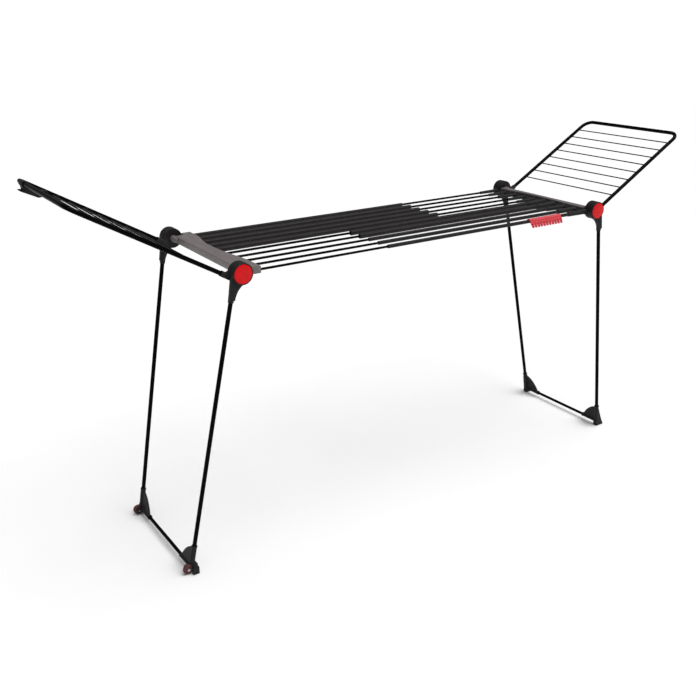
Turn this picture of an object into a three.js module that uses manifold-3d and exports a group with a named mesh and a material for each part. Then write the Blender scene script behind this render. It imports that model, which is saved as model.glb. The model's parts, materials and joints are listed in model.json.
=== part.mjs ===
// A winged clothes airer: a telescopic deck of ten rails on two folding leg frames, with a folding
// wing at each end. Millimetres, +Z up. The origin is on the floor, under the middle of the deck.
// +X runs along the deck to the right-hand end, -Y is the front.
import * as THREE from "three";
import { mergeVertices } from "three/addons/utils/BufferGeometryUtils.js";
import Module from "manifold-3d";

const wasm = await Module();
wasm.setup();

// ---- Driving dimensions ----
const axisSpacing = 1530; // hinge axis to hinge axis, deck pulled out
const axisHeight = 997; // hinge axes above the floor
const hubSpan = 558; // outer face to outer face of the hubs, front to back
const drumRadius = 34;
const runningGap = 1; // between pieces that turn against each other
const fitGap = 0.3; // between pieces that are assembled face to face

// Deck rails
const railCount = 10;
const railInset = 32; // outer rail centres, in from the hub faces
const railDrop = 3; // rail centres below the hinge axes
const rodRadius = 4;
const slimSleeveRadius = 6.5;
const wideSleeveRadius = 9;
const sleeveWall = 1.5;
const sleeveMouthLength = 16; // the bush in the mouth of each sleeve
const sleeveReach = 217; // how far a sleeve reaches past the middle of the deck
const deckTravel = 400; // how far the deck closes up
const rodSpare = 90; // rod still held in the sleeve when the deck is pulled out
const railSeat = 10; // rail end inside the beam, from its inner edge at the waist

// End beams
const leftWaist = 50; // inner edge of the left beam at its narrowest, inwards from the hinge axis
const rightWaist = 24; // and of the right beam's top, which stands on a lower rail carrier
const carrierEdge = 48; // inner edge of that carrier
const waistBack = 70; // the waist runs from here, behind the middle of the deck,
const waistFront = 20; // to here, and the top widens beyond
const waistEnd = 205;
const beamOuterEdge = 2;
const beamRise = 10; // top above the hinge axis
const carrierRise = 1;
const beamBottomDrop = 12.5; // underside below the hinge axis
const beamFlare = { left: 21, right: 9 }; // how much wider the beams' tops are at their two ends
const longSocket = 86; // rail sockets on the right beam, beyond its carrier
const socketWall = 1.6;

// Hubs
const wingHubWidth = 16.5;
const legHubWidth = 22;
const capRadius = 30;
const capRecess = 6;
const capCrown = 1.6;
const boltRadius = 5;
const boltHeadRadius = 8.5;
const boltHeadHeight = 5;
const boltReach = 24; // bolt held in the beam's boss

// Wings
const wingAngle = THREE.MathUtils.degToRad(30); // above horizontal
const wingLength = 543; // hinge axis to outer bar
const wingDrop = 24.8; // wing plane below the hinge axis, square to the wing
const wingRootInset = 37.5; // wing tube centres at the hinge, in from the hub faces
const wingTipInset = 37.5; // and at the outer bar
const wingTubeRadius = 7;
const wingCorner = 38; // bend radius of the outer corners
const wireCount = 8;
const wireRadius = 2.25;
const firstWire = 64; // outer bar to first wire
const wirePitch = 50.5;
const wingSocketLength = 52;
const wingSocketWall = 2.2;

// Legs
const splay = THREE.MathUtils.degToRad(10.85); // legs outwards from vertical
const legOffset = 20.2; // leg plane outside the hinge axis
const legTopInset = 17; // leg centres at hinge height, in from the hub faces
const legFootInset = 62.5; // and at the crossbar
const legTubeRadius = 7;
const crossbarRadius = 6;
const crossbarHeight = 21; // crossbar centre above the floor
const legSocketLength = 92;
const legSocketWall = 2;

// Feet
const cornerOnLeg = 78; // foot corner, measured up the leg
const cornerOnBar = 80; // and along the crossbar
const webThickness = 7;
const footWall = 2.2;
const tubeStop = 24; // leg tube end above the crossbar
const barStop = 11; // crossbar end inside the corner
const skirtReach = 32; // right feet: how far the skirt runs outwards
const skirtHeight = 80;
const skirtWidth = 20;
const wheelRadius = 17;
const wheelWidth = 12;
const wheelClearance = 0.8; // wheel above the floor while the feet stand on it
const wheelOut = 13.5; // wheel centre outside the leg plane
const axleRadius = 2.5;

// Small item strip and wing clip
const stripLength = 160;
const stripCentre = 504; // along the deck
const stripDrop = 30; // bottom edge below the rail centre
const stripTeeth = 11;
const stripSlot = 3.8;
const stripWall = 2.6;
const stripLean = THREE.MathUtils.degToRad(32); // its lower edge swings out from the rail
const clipPlace = 165; // along the outer bar, towards the back
const clipWidth = 32;

// ---- Materials ----
const finish = (color, roughness, metalness) => new THREE.MeshStandardMaterial({ color, roughness, metalness });
const blackPaint = finish("#17171a", 0.35, 0.2);
const sleevePaint = finish("#312f31", 0.45, 0.2);
const beamPlastic = finish("#77706f", 0.6, 0);
const hubPlastic = finish("#3a393b", 0.6, 0);
const redPlastic = finish("#dd0a1a", 0.35, 0);
const stripPlastic = finish("#e23945", 0.5, 0);
const wheelRubber = finish("#5c2429", 0.7, 0);
const plainSteel = finish("#a8a9ab", 0.35, 0.9);

// ---- Shape helpers ----
const vec = (x, y, z) => new THREE.Vector3(x, y, z);

// A manifold-3d solid of a closed three.js geometry.
function solid(geometry) {
  const bare = geometry.clone();
  for (const name of ["normal", "uv"]) bare.deleteAttribute(name);
  const merged = mergeVertices(bare, 1e-4);
  return new wasm.Manifold(
    new wasm.Mesh({
      numProp: 3,
      vertProperties: new Float32Array(merged.attributes.position.array),
      triVerts: new Uint32Array(merged.index.array),
    }),
  );
}

// A three.js geometry of a manifold-3d solid.
function shell(body) {
  const mesh = body.getMesh();
  const geometry = new THREE.BufferGeometry();
  geometry.setAttribute("position", new THREE.BufferAttribute(new Float32Array(mesh.vertProperties), 3));
  geometry.setIndex(new THREE.BufferAttribute(new Uint32Array(mesh.triVerts), 1));
  geometry.computeVertexNormals();
  return geometry;
}

// The first geometry joined with `added` and cut by `removed`.
function shaped(first, added = [], removed = []) {
  let body = solid(first);
  for (const part of added) body = body.add(solid(part));
  for (const part of removed) body = body.subtract(solid(part));
  return shell(body);
}

// A round bar, or a cone when the second radius differs, from one point to another.
function bar(from, to, radius, sides = 12, endRadius = radius) {
  const along = to.clone().sub(from);
  const geometry = new THREE.CylinderGeometry(endRadius, radius, along.length(), sides);
  const turn = new THREE.Quaternion().setFromUnitVectors(vec(0, 1, 0), along.clone().normalize());
  const middle = from.clone().add(to).multiplyScalar(0.5);
  return geometry.applyQuaternion(turn).translate(middle.x, middle.y, middle.z);
}

// A cutter for a round hole: its flats, not its corners, lie on the radius.
const around = (radius, sides) => radius / Math.cos(Math.PI / sides);
const drill = (from, to, radius, sides = 12) => bar(from, to, around(radius, sides), sides);

// An outline in X and Z, extruded along Y from y0 to y1.
function slab(outline, y0, y1) {
  const geometry = new THREE.ExtrudeGeometry(outline, { depth: y1 - y0, bevelEnabled: false, curveSegments: 8 });
  return geometry.rotateX(Math.PI / 2).translate(0, y1, 0);
}

// An outline in Y and Z, extruded along X from x0 to x1.
function sideSlab(outline, x0, x1) {
  const geometry = new THREE.ExtrudeGeometry(outline, { depth: x1 - x0, bevelEnabled: false, curveSegments: 8 });
  const turn = new THREE.Matrix4().makeBasis(vec(0, 1, 0), vec(0, 0, 1), vec(1, 0, 0));
  return geometry.applyMatrix4(turn).translate(x0, 0, 0);
}

// A closed outline through the given points.
const outlineOf = (...points) => new THREE.Shape(points.map(([a, b]) => new THREE.Vector2(a, b)));

// A block between two opposite corners.
function block(low, high) {
  const size = high.clone().sub(low);
  return new THREE.BoxGeometry(size.x, size.y, size.z).translate(
    low.x + size.x / 2,
    low.y + size.y / 2,
    low.z + size.z / 2,
  );
}

// A bend path that keeps exactly the stations it is given.
class StationPath extends THREE.Curve {
  constructor(stations) {
    super();
    this.stations = stations;
  }
  getPoint(t, target = vec(0, 0, 0)) {
    const last = this.stations.length - 1;
    return target.copy(this.stations[Math.round(t * last)]);
  }
  getPointAt(t, target) {
    return this.getPoint(t, target);
  }
  getTangentAt(t, target = vec(0, 0, 0)) {
    const last = this.stations.length - 1;
    const here = Math.round(t * last);
    const before = this.stations[Math.max(here - 1, 0)];
    const after = this.stations[Math.min(here + 1, last)];
    const arriving = this.stations[here].clone().sub(before).normalize();
    const leaving = after.clone().sub(this.stations[here]).normalize();
    return target.copy(arriving.add(leaving)).normalize();
  }
}

// A bent round tube or wire through the given stations.
function bentBar(stations, radius, sides = 12) {
  const section = new THREE.Shape();
  section.absarc(0, 0, radius, 0, Math.PI * 2);
  return new THREE.ExtrudeGeometry(section, {
    steps: stations.length - 1,
    curveSegments: sides / 2,
    bevelEnabled: false,
    extrudePath: new StationPath(stations),
  });
}

function mesh(name, geometry, material, parent) {
  const made = new THREE.Mesh(geometry, material);
  made.name = name;
  parent.add(made);
  return made;
}

// ---- Shared places ----
const railSpan = hubSpan - 2 * railInset;
const wingRootHalf = hubSpan / 2 - wingRootInset;
const wingTipHalf = hubSpan / 2 - wingTipInset;
const legTopHalf = hubSpan / 2 - legTopInset;
const legFootHalf = hubSpan / 2 - legFootInset;
const wingSocketRadius = wingTubeRadius + wingSocketWall;
const wingSocketRoot = wingSocketRadius + 0.8; // the socket is a little stouter at the drum
const bossRadius = wingDrop - wingSocketRoot - runningGap; // the wing sockets swing round the bosses
const legSocketRadius = legTubeRadius + legSocketWall;
const legSocketStart = Math.sqrt((drumRadius + legSocketRadius + runningGap) ** 2 - legOffset ** 2);
const legTubeEntry = legSocketStart + 6; // top of the tube below the hinge axis
const hubInner = hubSpan / 2 - wingHubWidth - runningGap - legHubWidth - capCrown;
const wingHubOuter = hubInner + wingHubWidth;
const legHubInner = wingHubOuter + runningGap;
const legHubOuter = legHubInner + legHubWidth;
const recessFloor = legHubOuter - capRecess;
const boltBore = boltRadius + fitGap;
const bossEnd = hubInner - runningGap / 2;
const boltEnd = bossEnd - boltReach;
const beamEnd = legHubInner - runningGap; // flat front and back ends of the beam
const railPitch = railSpan / (railCount - 1);
const innerEdge = (isLeft) => (isLeft ? leftWaist : carrierEdge);
const railRoot = (isLeft) => Math.max(innerEdge(isLeft) - railSeat, drumRadius + 3); // rail ends, from the hinge axis
const railPlace = (number) => railSpan / 2 - (number - 1) * railPitch; // rail 1 is the back one
const isLeftSleeve = (number) => number <= railCount / 2;
const sleeveRadius = (number) => (number >= 2 && number <= 7 ? wideSleeveRadius : slimSleeveRadius);
const legSlope = (legTopHalf - legFootHalf) /
  ((axisHeight - crossbarHeight + legOffset * Math.sin(splay)) / Math.cos(splay));
const legLength = (legTopHalf - legFootHalf) / legSlope; // hinge height to crossbar, along the leg frame
const onLeg = (down) => vec(legOffset, legTopHalf - legSlope * down, -down);
const wingHalfAt = (out) => wingRootHalf + ((wingTipHalf - wingRootHalf) * out) / wingLength;
const onWingTube = (out) => vec(out, wingHalfAt(out), -wingDrop);

// ---- Beam: one moulding with a boss at each end and a socket for each rail ----
// Built in the end frame: X outwards from the hinge axis, Y along the axis, Z up from the axis.
function beamGeometry(isLeft) {
  const turned = isLeft ? -1 : 1; // the left end is turned round, so its rails run the other way
  const waist = isLeft ? leftWaist : rightWaist;
  const flare = isLeft ? beamFlare.left : beamFlare.right;
  const seat = -railRoot(isLeft);
  const tip = isLeft ? -leftWaist - 1 : -carrierEdge - longSocket;
  const way = Math.min(tip, -waist - flare) - 1; // the bores also pass through the wide ends
  const neck = drumRadius + 3; // keeps clear of the hub drums
  const shoulder = bossEnd - 8;
  const bossSide = -beamOuterEdge - 18;
  const topEdge = (y) => {
    const back = (turned * y - waistBack) / (waistEnd - waistBack);
    const front = (waistFront - turned * y) / (waistEnd + waistFront);
    const share = Math.min(1, Math.max(0, back, front));
    return -waist - flare * share * share * (3 - 2 * share);
  };
  const outer = [
    [-beamOuterEdge, shoulder - 10],
    [-beamOuterEdge - 3, shoulder - 4],
    [bossSide, shoulder],
  ];
  const end = isLeft ? -waist - flare : -carrierEdge;
  const half = [...outer, [-neck, shoulder], [-neck, beamEnd], [end, beamEnd]];
  const edge = [];
  for (let step = 0; step <= 24; step++) {
    const y = (beamEnd - 10) * (1 - step / 12);
    edge.push([topEdge(y), y]);
  }
  const mirrored = (points) => points.map(([x, y]) => [x, -y]).reverse();
  const within = isLeft ? edge : [[end, 0]];
  const plan = new THREE.ExtrudeGeometry(outlineOf(...half, ...within, ...mirrored(half)), {
    depth: beamRise + beamBottomDrop,
    bevelEnabled: false,
  });
  let body = solid(plan.translate(0, 0, -beamBottomDrop));
  if (!isLeft) {
    const above = outlineOf([-200, beamEnd + 5], ...[[topEdge(beamEnd), beamEnd + 5]], ...edge,
      [topEdge(-beamEnd), -beamEnd - 5], [-200, -beamEnd - 5]);
    const cut = new THREE.ExtrudeGeometry(above, { depth: 30, bevelEnabled: false });
    body = body.subtract(solid(cut.translate(0, 0, carrierRise)));
  }
  const corner = outlineOf([-beamOuterEdge + 1, beamRise - 3.6], [-beamOuterEdge + 1, beamRise + 1],
    [-beamOuterEdge - 3.6, beamRise + 1]);
  body = body.subtract(solid(slab(corner, -beamEnd - 1, beamEnd + 1)));
  for (const end of [-1, 1]) {
    const bossRoot = vec(0, end * (boltEnd - 4), 0);
    const bossFull = vec(0, end * (boltEnd + 6), 0);
    body = body.add(solid(bar(bossRoot, bossFull, bossRadius * 0.75, 16, bossRadius)));
    body = body.add(solid(bar(bossFull, vec(0, end * bossEnd, 0), bossRadius, 16)));
  }
  const ends = solid(block(vec(-400, -beamEnd, -60), vec(60, beamEnd, 60)));
  const isHeldAs = (number) => (isLeftSleeve(number) === isLeft ? sleeveRadius(number) : rodRadius);
  for (let number = 1; number <= railCount; number++) {
    const y = turned * railPlace(number);
    const radius = isHeldAs(number) + fitGap;
    const socket = bar(
      vec(seat, y, -railDrop),
      vec(tip, y, -railDrop),
      radius + 1.8 * socketWall,
      12,
      radius + socketWall,
    );
    body = body.add(solid(socket).intersect(ends));
  }
  for (let number = 1; number <= railCount; number++) {
    const y = turned * railPlace(number);
    const radius = isHeldAs(number) + fitGap;
    const bore = drill(vec(seat + fitGap, y, -railDrop), vec(way, y, -railDrop), radius);
    body = body.subtract(solid(bore));
  }
  for (const end of [-1, 1]) {
    body = body.subtract(solid(drill(vec(0, end * (boltEnd - 1), 0), vec(0, end * (bossEnd + 1), 0), boltBore)));
  }
  return shell(body);
}

// ---- Wing: bent tube with welded wires, and the hub arms that hold it ----
function wingFrameGeometry() {
  const stations = [];
  const start = wingSocketLength - 36;
  const bend = (side, from, to) => {
    const centre = vec(wingLength - wingCorner, side * (wingHalfAt(wingLength) - wingCorner), -wingDrop);
    for (let step = 0; step <= 5; step++) {
      const angle = from + ((to - from) * step) / 5;
      stations.push(
        vec(centre.x + wingCorner * Math.cos(angle), centre.y + wingCorner * Math.sin(angle), -wingDrop),
      );
    }
  };
  stations.push(vec(start, -wingHalfAt(start), -wingDrop));
  bend(-1, -Math.PI / 2, 0);
  bend(1, 0, Math.PI / 2);
  stations.push(vec(start, wingHalfAt(start), -wingDrop));
  const wires = [];
  for (let number = 0; number < wireCount; number++) {
    const x = wingLength - firstWire - number * wirePitch;
    wires.push(bar(vec(x, -wingHalfAt(x), -wingDrop), vec(x, wingHalfAt(x), -wingDrop), wireRadius, 8));
  }
  return shaped(bentBar(stations, wingTubeRadius, 10), wires);
}

function wingArmGeometry() {
  const drum = bar(vec(0, hubInner, 0), vec(0, wingHubOuter, 0), drumRadius, 24);
  const outline = outlineOf(
    [0, -drumRadius],
    [wingSocketLength - 14, -wingDrop - wingTubeRadius - 1],
    [wingSocketLength - 14, -wingDrop + wingTubeRadius + 1],
    [drumRadius * 0.94, -4],
    [0, 0],
  );
  const web = slab(outline, hubInner + 2, wingHubOuter - 3);
  const socket = bar(onWingTube(4), onWingTube(wingSocketLength), wingSocketRoot, 12, wingSocketRadius);
  const tubeBore = drill(onWingTube(wingSocketLength - 36 - fitGap), onWingTube(wingSocketLength + 1),
    wingTubeRadius + fitGap);
  const boltHole = drill(vec(0, hubInner - 12, 0), vec(0, wingHubOuter + 1, 0), boltBore);
  const face = block(vec(-60, wingHubOuter, -60), vec(90, wingHubOuter + 20, 60));
  return shaped(drum, [web, socket], [tubeBore, boltHole, face]);
}

// ---- Leg frame ----
function legHubGeometry() {
  const drum = bar(vec(0, legHubInner, 0), vec(0, legHubOuter, 0), drumRadius, 24);
  const neckOut = legOffset + legSocketRadius;
  const neckIn = legOffset - legSocketRadius;
  const flare = new THREE.Shape();
  flare.moveTo(drumRadius - 0.6, 0);
  flare.lineTo(neckOut, -legSocketLength + 8);
  flare.lineTo(neckIn, -legSocketLength + 8);
  flare.quadraticCurveTo(neckIn - 2, -drumRadius - 10, -drumRadius * 0.55, -drumRadius * 0.82);
  flare.lineTo(0, 0);
  const web = slab(flare, legHubInner, legHubInner + 13);
  const socket = bar(onLeg(legSocketStart), onLeg(legSocketLength), legSocketRadius);
  const tubeBore = drill(onLeg(legTubeEntry - fitGap), onLeg(legSocketLength + 1), legTubeRadius + fitGap);
  const boltHole = drill(vec(0, legHubInner - 1, 0), vec(0, legHubOuter + 1, 0), boltBore);
  const headPocket = drill(
    vec(0, recessFloor - boltHeadHeight - runningGap, 0),
    vec(0, recessFloor + 1, 0),
    boltHeadRadius + runningGap,
  );
  const capPocket = drill(vec(0, recessFloor, 0), vec(0, legHubOuter + 1, 0), capRadius + fitGap, 24);
  return shaped(drum, [web, socket], [tubeBore, boltHole, headPocket, capPocket]);
}

function capGeometry() {
  const low = recessFloor + fitGap;
  const profile = [
    [0, low],
    [capRadius, low],
    [capRadius, legHubOuter],
    [capRadius * 0.8, legHubOuter + capCrown],
    [0, legHubOuter + capCrown],
  ];
  return new THREE.LatheGeometry(profile.map(([r, y]) => new THREE.Vector2(r, y)), 24);
}

function boltGeometry() {
  const under = recessFloor - boltHeadHeight - fitGap;
  const profile = [
    [0, boltEnd],
    [boltRadius, boltEnd],
    [boltRadius, under],
    [boltHeadRadius, under],
    [boltHeadRadius, under + boltHeadHeight],
    [0, under + boltHeadHeight],
  ];
  return new THREE.LatheGeometry(profile.map(([r, y]) => new THREE.Vector2(r, y)), 12);
}

// The foot corner's web and sleeves, in the leg frame.
function cornerShell() {
  const corner = onLeg(legLength);
  const upLeg = onLeg(legLength - cornerOnLeg);
  const inBar = vec(legOffset, corner.y - cornerOnBar, corner.z);
  const web = new THREE.Shape();
  web.moveTo(corner.y, corner.z);
  web.lineTo(upLeg.y, upLeg.z - 6);
  web.quadraticCurveTo(corner.y - cornerOnBar * 0.62, corner.z + cornerOnLeg * 0.78, inBar.y + 4, inBar.z);
  web.lineTo(corner.y, corner.z);
  return {
    parts: [
      sideSlab(web, legOffset - webThickness / 2, legOffset + webThickness / 2),
      bar(onLeg(legLength - cornerOnLeg), corner, legTubeRadius + footWall),
      bar(inBar, corner, crossbarRadius + footWall),
    ],
    bores: [
      drill(onLeg(legLength - cornerOnLeg - 1), onLeg(legLength - tubeStop + fitGap), legTubeRadius + fitGap),
      drill(
        vec(legOffset, inBar.y - 1, corner.z),
        vec(legOffset, corner.y - barStop + fitGap, corner.z),
        crossbarRadius + fitGap,
      ),
    ],
  };
}

// The place of the leg frame's corner, in the end frame.
const legTurn = new THREE.Matrix4().makeRotationY(-splay);
const cornerPlace = onLeg(legLength).applyMatrix4(legTurn);
const floorLevel = -axisHeight;
const wheelCentre = vec(cornerPlace.x + wheelOut, 0, floorLevel + wheelRadius + wheelClearance);
const wheelInner = legFootHalf - 2.5;
const wheelOuter = wheelInner + wheelWidth;

// Right-hand foot: a skirt that runs out and down to the floor.
function skirtFootGeometry() {
  const { parts, bores } = cornerShell();
  const [web, ...rest] = parts.map((part) => part.applyMatrix4(legTurn));
  const lean = Math.tan(splay);
  const top = floorLevel + skirtHeight;
  const legAtTop = cornerPlace.x - (skirtHeight - crossbarHeight) * lean;
  const skirt = new THREE.Shape();
  skirt.moveTo(cornerPlace.x - 9, floorLevel);
  skirt.lineTo(cornerPlace.x + skirtReach - 2, floorLevel);
  skirt.lineTo(cornerPlace.x + skirtReach, floorLevel + 4);
  skirt.quadraticCurveTo(cornerPlace.x + 15, floorLevel + 30, legAtTop + 8, top);
  skirt.lineTo(legAtTop - 8, top);
  skirt.lineTo(cornerPlace.x - 9, floorLevel + crossbarHeight);
  const footPad = slab(skirt, legFootHalf - skirtWidth / 2, legFootHalf + skirtWidth / 2);
  return shaped(web, [...rest, footPad], bores.map((part) => part.applyMatrix4(legTurn)));
}

// Left-hand foot: a rounded stop beside a wheel that turns on an axle in the corner.
function wheelFootGeometry() {
  const { parts, bores } = cornerShell();
  const [web, ...rest] = parts.map((part) => part.applyMatrix4(legTurn));
  const back = cornerPlace.x - 19;
  const stopOutline = new THREE.Shape();
  stopOutline.moveTo(back, floorLevel);
  stopOutline.lineTo(back + 22, floorLevel);
  stopOutline.lineTo(back + 22, floorLevel + 22);
  stopOutline.absarc(back + 11, floorLevel + 22, 11, 0, Math.PI, false);
  const stop = slab(stopOutline, wheelOuter + 0.8, wheelOuter + 12.8);
  const bridge = block(
    vec(back, legFootHalf - 16, floorLevel + 5),
    vec(wheelCentre.x - wheelRadius - 1.6, wheelOuter + 2, floorLevel + 31),
  );
  const earLow = wheelInner - 10;
  const ear = bar(vec(wheelCentre.x, earLow, wheelCentre.z), vec(wheelCentre.x, wheelInner - 0.6, wheelCentre.z), 10);
  const earRoot = block(
    vec(cornerPlace.x - 4, earLow, wheelCentre.z - 8),
    vec(wheelCentre.x, wheelInner - 0.6, wheelCentre.z + 9),
  );
  const well = drill(
    vec(wheelCentre.x, wheelInner - 0.6, wheelCentre.z),
    vec(wheelCentre.x, wheelOuter + 0.8, wheelCentre.z),
    wheelRadius + 1.2,
    24,
  );
  const axleHole = drill(
    vec(wheelCentre.x, earLow - 1, wheelCentre.z),
    vec(wheelCentre.x, wheelOuter, wheelCentre.z),
    axleRadius + fitGap,
    10,
  );
  return shaped(web, [...rest, ear, earRoot, bridge, stop], [
    ...bores.map((part) => part.applyMatrix4(legTurn)),
    well,
    axleHole,
  ]);
}

function wheelGeometry() {
  const wheelSides = 20;
  const hole = around(axleRadius + fitGap, wheelSides);
  const profile = [
    [hole, wheelInner],
    [wheelRadius - 2, wheelInner],
    [wheelRadius, wheelInner + 2],
    [wheelRadius, wheelOuter - 2],
    [wheelRadius - 2, wheelOuter],
    [hole, wheelOuter],
    [hole, wheelInner],
  ];
  return new THREE.LatheGeometry(profile.map(([r, y]) => new THREE.Vector2(r, y)), wheelSides);
}

function axleGeometry() {
  const head = wheelOuter + 0.5;
  const profile = [
    [0, wheelInner - 9],
    [axleRadius, wheelInner - 9],
    [axleRadius, head],
    [axleRadius + 2, head],
    [axleRadius + 2, head + 2],
    [0, head + 2],
  ];
  return new THREE.LatheGeometry(profile.map(([r, y]) => new THREE.Vector2(r, y)), 10);
}

// ---- Rails ----
// A sleeve with a bush in its mouth, along +X from 0.
function sleeveGeometry(radius, length) {
  const sides = 12;
  const bore = radius - sleeveWall;
  const mouth = around(rodRadius + fitGap, sides);
  const profile = [
    [bore, 0],
    [radius, 0],
    [radius, length - 3],
    [radius - 0.8, length],
    [mouth, length],
    [mouth, length - sleeveMouthLength],
    [bore, length - sleeveMouthLength - 2],
    [bore, 0],
  ];
  const geometry = new THREE.LatheGeometry(profile.map(([r, y]) => new THREE.Vector2(r, y)), sides);
  return geometry.rotateZ(-Math.PI / 2);
}

// ---- Small item strip: hooks over the front rail, teeth along its lower edge ----
function stripGeometry() {
  const y = railPlace(railCount);
  const inner = sleeveRadius(railCount) + 0.5;
  const outer = inner + stripWall;
  const hook = new THREE.Shape();
  hook.moveTo(y - outer, -stripDrop);
  hook.lineTo(y - outer, 0);
  hook.absarc(y, 0, outer, Math.PI, -0.35, true);
  hook.lineTo(y + inner * Math.cos(-0.35), inner * Math.sin(-0.35));
  hook.absarc(y, 0, inner, -0.35, Math.PI, false);
  hook.lineTo(y - inner, -stripDrop);
  const plate = sideSlab(hook, stripCentre - stripLength / 2, stripCentre + stripLength / 2);
  const pitch = stripLength / stripTeeth;
  const slots = [];
  for (let number = 0; number < stripTeeth - 1; number++) {
    const x = stripCentre - stripLength / 2 + (number + 1) * pitch;
    slots.push(block(vec(x - stripSlot / 2, y - outer - 1, -stripDrop - 1), vec(x + stripSlot / 2, y - inner + 1, -stripDrop + 9)));
  }
  const leaning = shaped(plate, [], slots).translate(0, -y, 0).rotateX(-stripLean);
  return leaning.translate(0, y, axisHeight - railDrop);
}

// ---- Wing clip: snaps on the outer bar and the first wire, with a hook that opens outwards ----
function clipGeometry() {
  const barHold = wingTubeRadius + fitGap;
  const wireX = wingLength - firstWire;
  const low = -wingDrop - 22;
  const body = outlineOf(
    [wireX - 6, -wingDrop + 5],
    [wireX + 6, -wingDrop + 5],
    [wireX + 9, -wingDrop - 5],
    [wingLength - barHold - 4, -wingDrop - 5],
    [wingLength - barHold - 4, -wingDrop + 4],
    [wingLength, -wingDrop + barHold + 2.5],
    [wingLength + barHold + 1.8, -wingDrop + 4],
    [wingLength + barHold + 1.8, -wingDrop - 8],
    [wingLength + barHold - 4, -wingDrop - 11],
    [wingLength - 4, low + 3],
    [wingLength + 6, low - 2],
    [wingLength + 5, low - 4],
    [wireX + 12, low],
    [wireX - 6, -wingDrop - 9],
  );
  const plate = slab(body, clipPlace - clipWidth / 2, clipPlace + clipWidth / 2);
  const alongBar = (x, radius) =>
    drill(vec(x, clipPlace - clipWidth, -wingDrop), vec(x, clipPlace + clipWidth, -wingDrop), radius);
  return shaped(plate, [], [alongBar(wingLength, barHold), alongBar(wireX, wireRadius + fitGap)]);
}

// ---- Assembly ----
const airer = new THREE.Group();

function addEnd(side) {
  const isLeft = side === "left";
  const end = new THREE.Group();
  end.position.set(((isLeft ? -1 : 1) * axisSpacing) / 2, 0, axisHeight);
  end.rotation.z = isLeft ? Math.PI : 0;
  airer.add(end);

  mesh(`${side}_beam`, beamGeometry(isLeft), beamPlastic, end);

  const wing = new THREE.Group();
  wing.rotation.y = -wingAngle;
  end.add(wing);
  mesh(`${side}_wing_frame`, wingFrameGeometry(), blackPaint, wing);
  if (isLeft) {
    const clipSide = new THREE.Group();
    clipSide.scale.y = -1;
    wing.add(clipSide);
    mesh("wing_clip", clipGeometry(), hubPlastic, clipSide);
  }

  const legs = new THREE.Group();
  legs.rotation.y = -splay;
  end.add(legs);
  const barEnd = legFootHalf - barStop;
  mesh(
    `${side}_leg_crossbar`,
    bar(vec(legOffset, -barEnd, -legLength), vec(legOffset, barEnd, -legLength), crossbarRadius, 12),
    blackPaint,
    legs,
  );

  for (const place of ["front", "back"]) {
    // The left end is turned round, so its front is on the +Y side of the end frame.
    const towards = (place === "front") === isLeft ? 1 : -1;
    const mirror = (parent) => {
      const half = new THREE.Group();
      half.scale.y = towards;
      parent.add(half);
      return half;
    };
    const name = (piece) => `${side}_${place}_${piece}`;
    const upright = mirror(end);
    const onWing = mirror(wing);
    const onLegs = mirror(legs);
    mesh(name("pivot_bolt"), boltGeometry(), plainSteel, upright);
    mesh(name("wing_arm"), wingArmGeometry(), hubPlastic, onWing);
    mesh(name("leg_hub"), legHubGeometry(), hubPlastic, onLegs);
    mesh(name("hub_cap"), capGeometry(), redPlastic, onLegs);
    mesh(
      name("leg_tube"),
      bar(onLeg(legTubeEntry), onLeg(legLength - tubeStop), legTubeRadius, 12),
      blackPaint,
      onLegs,
    );
    mesh(name("foot"), isLeft ? wheelFootGeometry() : skirtFootGeometry(), hubPlastic, upright);
    if (isLeft) {
      for (const [piece, geometry, material] of [
        ["wheel", wheelGeometry(), wheelRubber],
        ["wheel_axle", axleGeometry(), plainSteel],
      ]) {
        const made = mesh(name(piece), geometry, material, upright);
        made.position.set(wheelCentre.x, 0, wheelCentre.z);
      }
    }
  }
}

function addRails() {
  const z = axisHeight - railDrop;
  const rodTip = sleeveReach - rodSpare;
  for (let number = 1; number <= railCount; number++) {
    const isLeft = isLeftSleeve(number);
    const y = railPlace(number);
    const root = axisSpacing / 2 - railRoot(isLeft);
    const rodRoot = axisSpacing / 2 - railRoot(!isLeft);
    const sleeve = mesh(
      `deck_sleeve_${number}`,
      sleeveGeometry(sleeveRadius(number), root + sleeveReach),
      sleevePaint,
      airer,
    );
    sleeve.position.set(isLeft ? -root : root, y, z);
    sleeve.rotation.z = isLeft ? 0 : Math.PI;
    const away = isLeft ? 1 : -1;
    mesh(
      `deck_rod_${number}`,
      bar(vec(away * rodTip, y, z), vec(away * rodRoot, y, z), rodRadius, 10),
      blackPaint,
      airer,
    );
  }
}

addEnd("left");
addEnd("right");
addRails();
mesh("small_item_strip", stripGeometry(), stripPlastic, airer);

export default airer;
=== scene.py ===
"""A winged clothes airer with a telescopic railed deck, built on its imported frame.

Metres, +Z up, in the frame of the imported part. Each section makes one piece of the airer, or one
group of like pieces, with its sizes, mesh, material and the body that it moves with.
"""
import json
from math import cos, pi, radians, sin, tau

import bmesh
import bpy
from mathutils import Matrix, Vector


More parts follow.
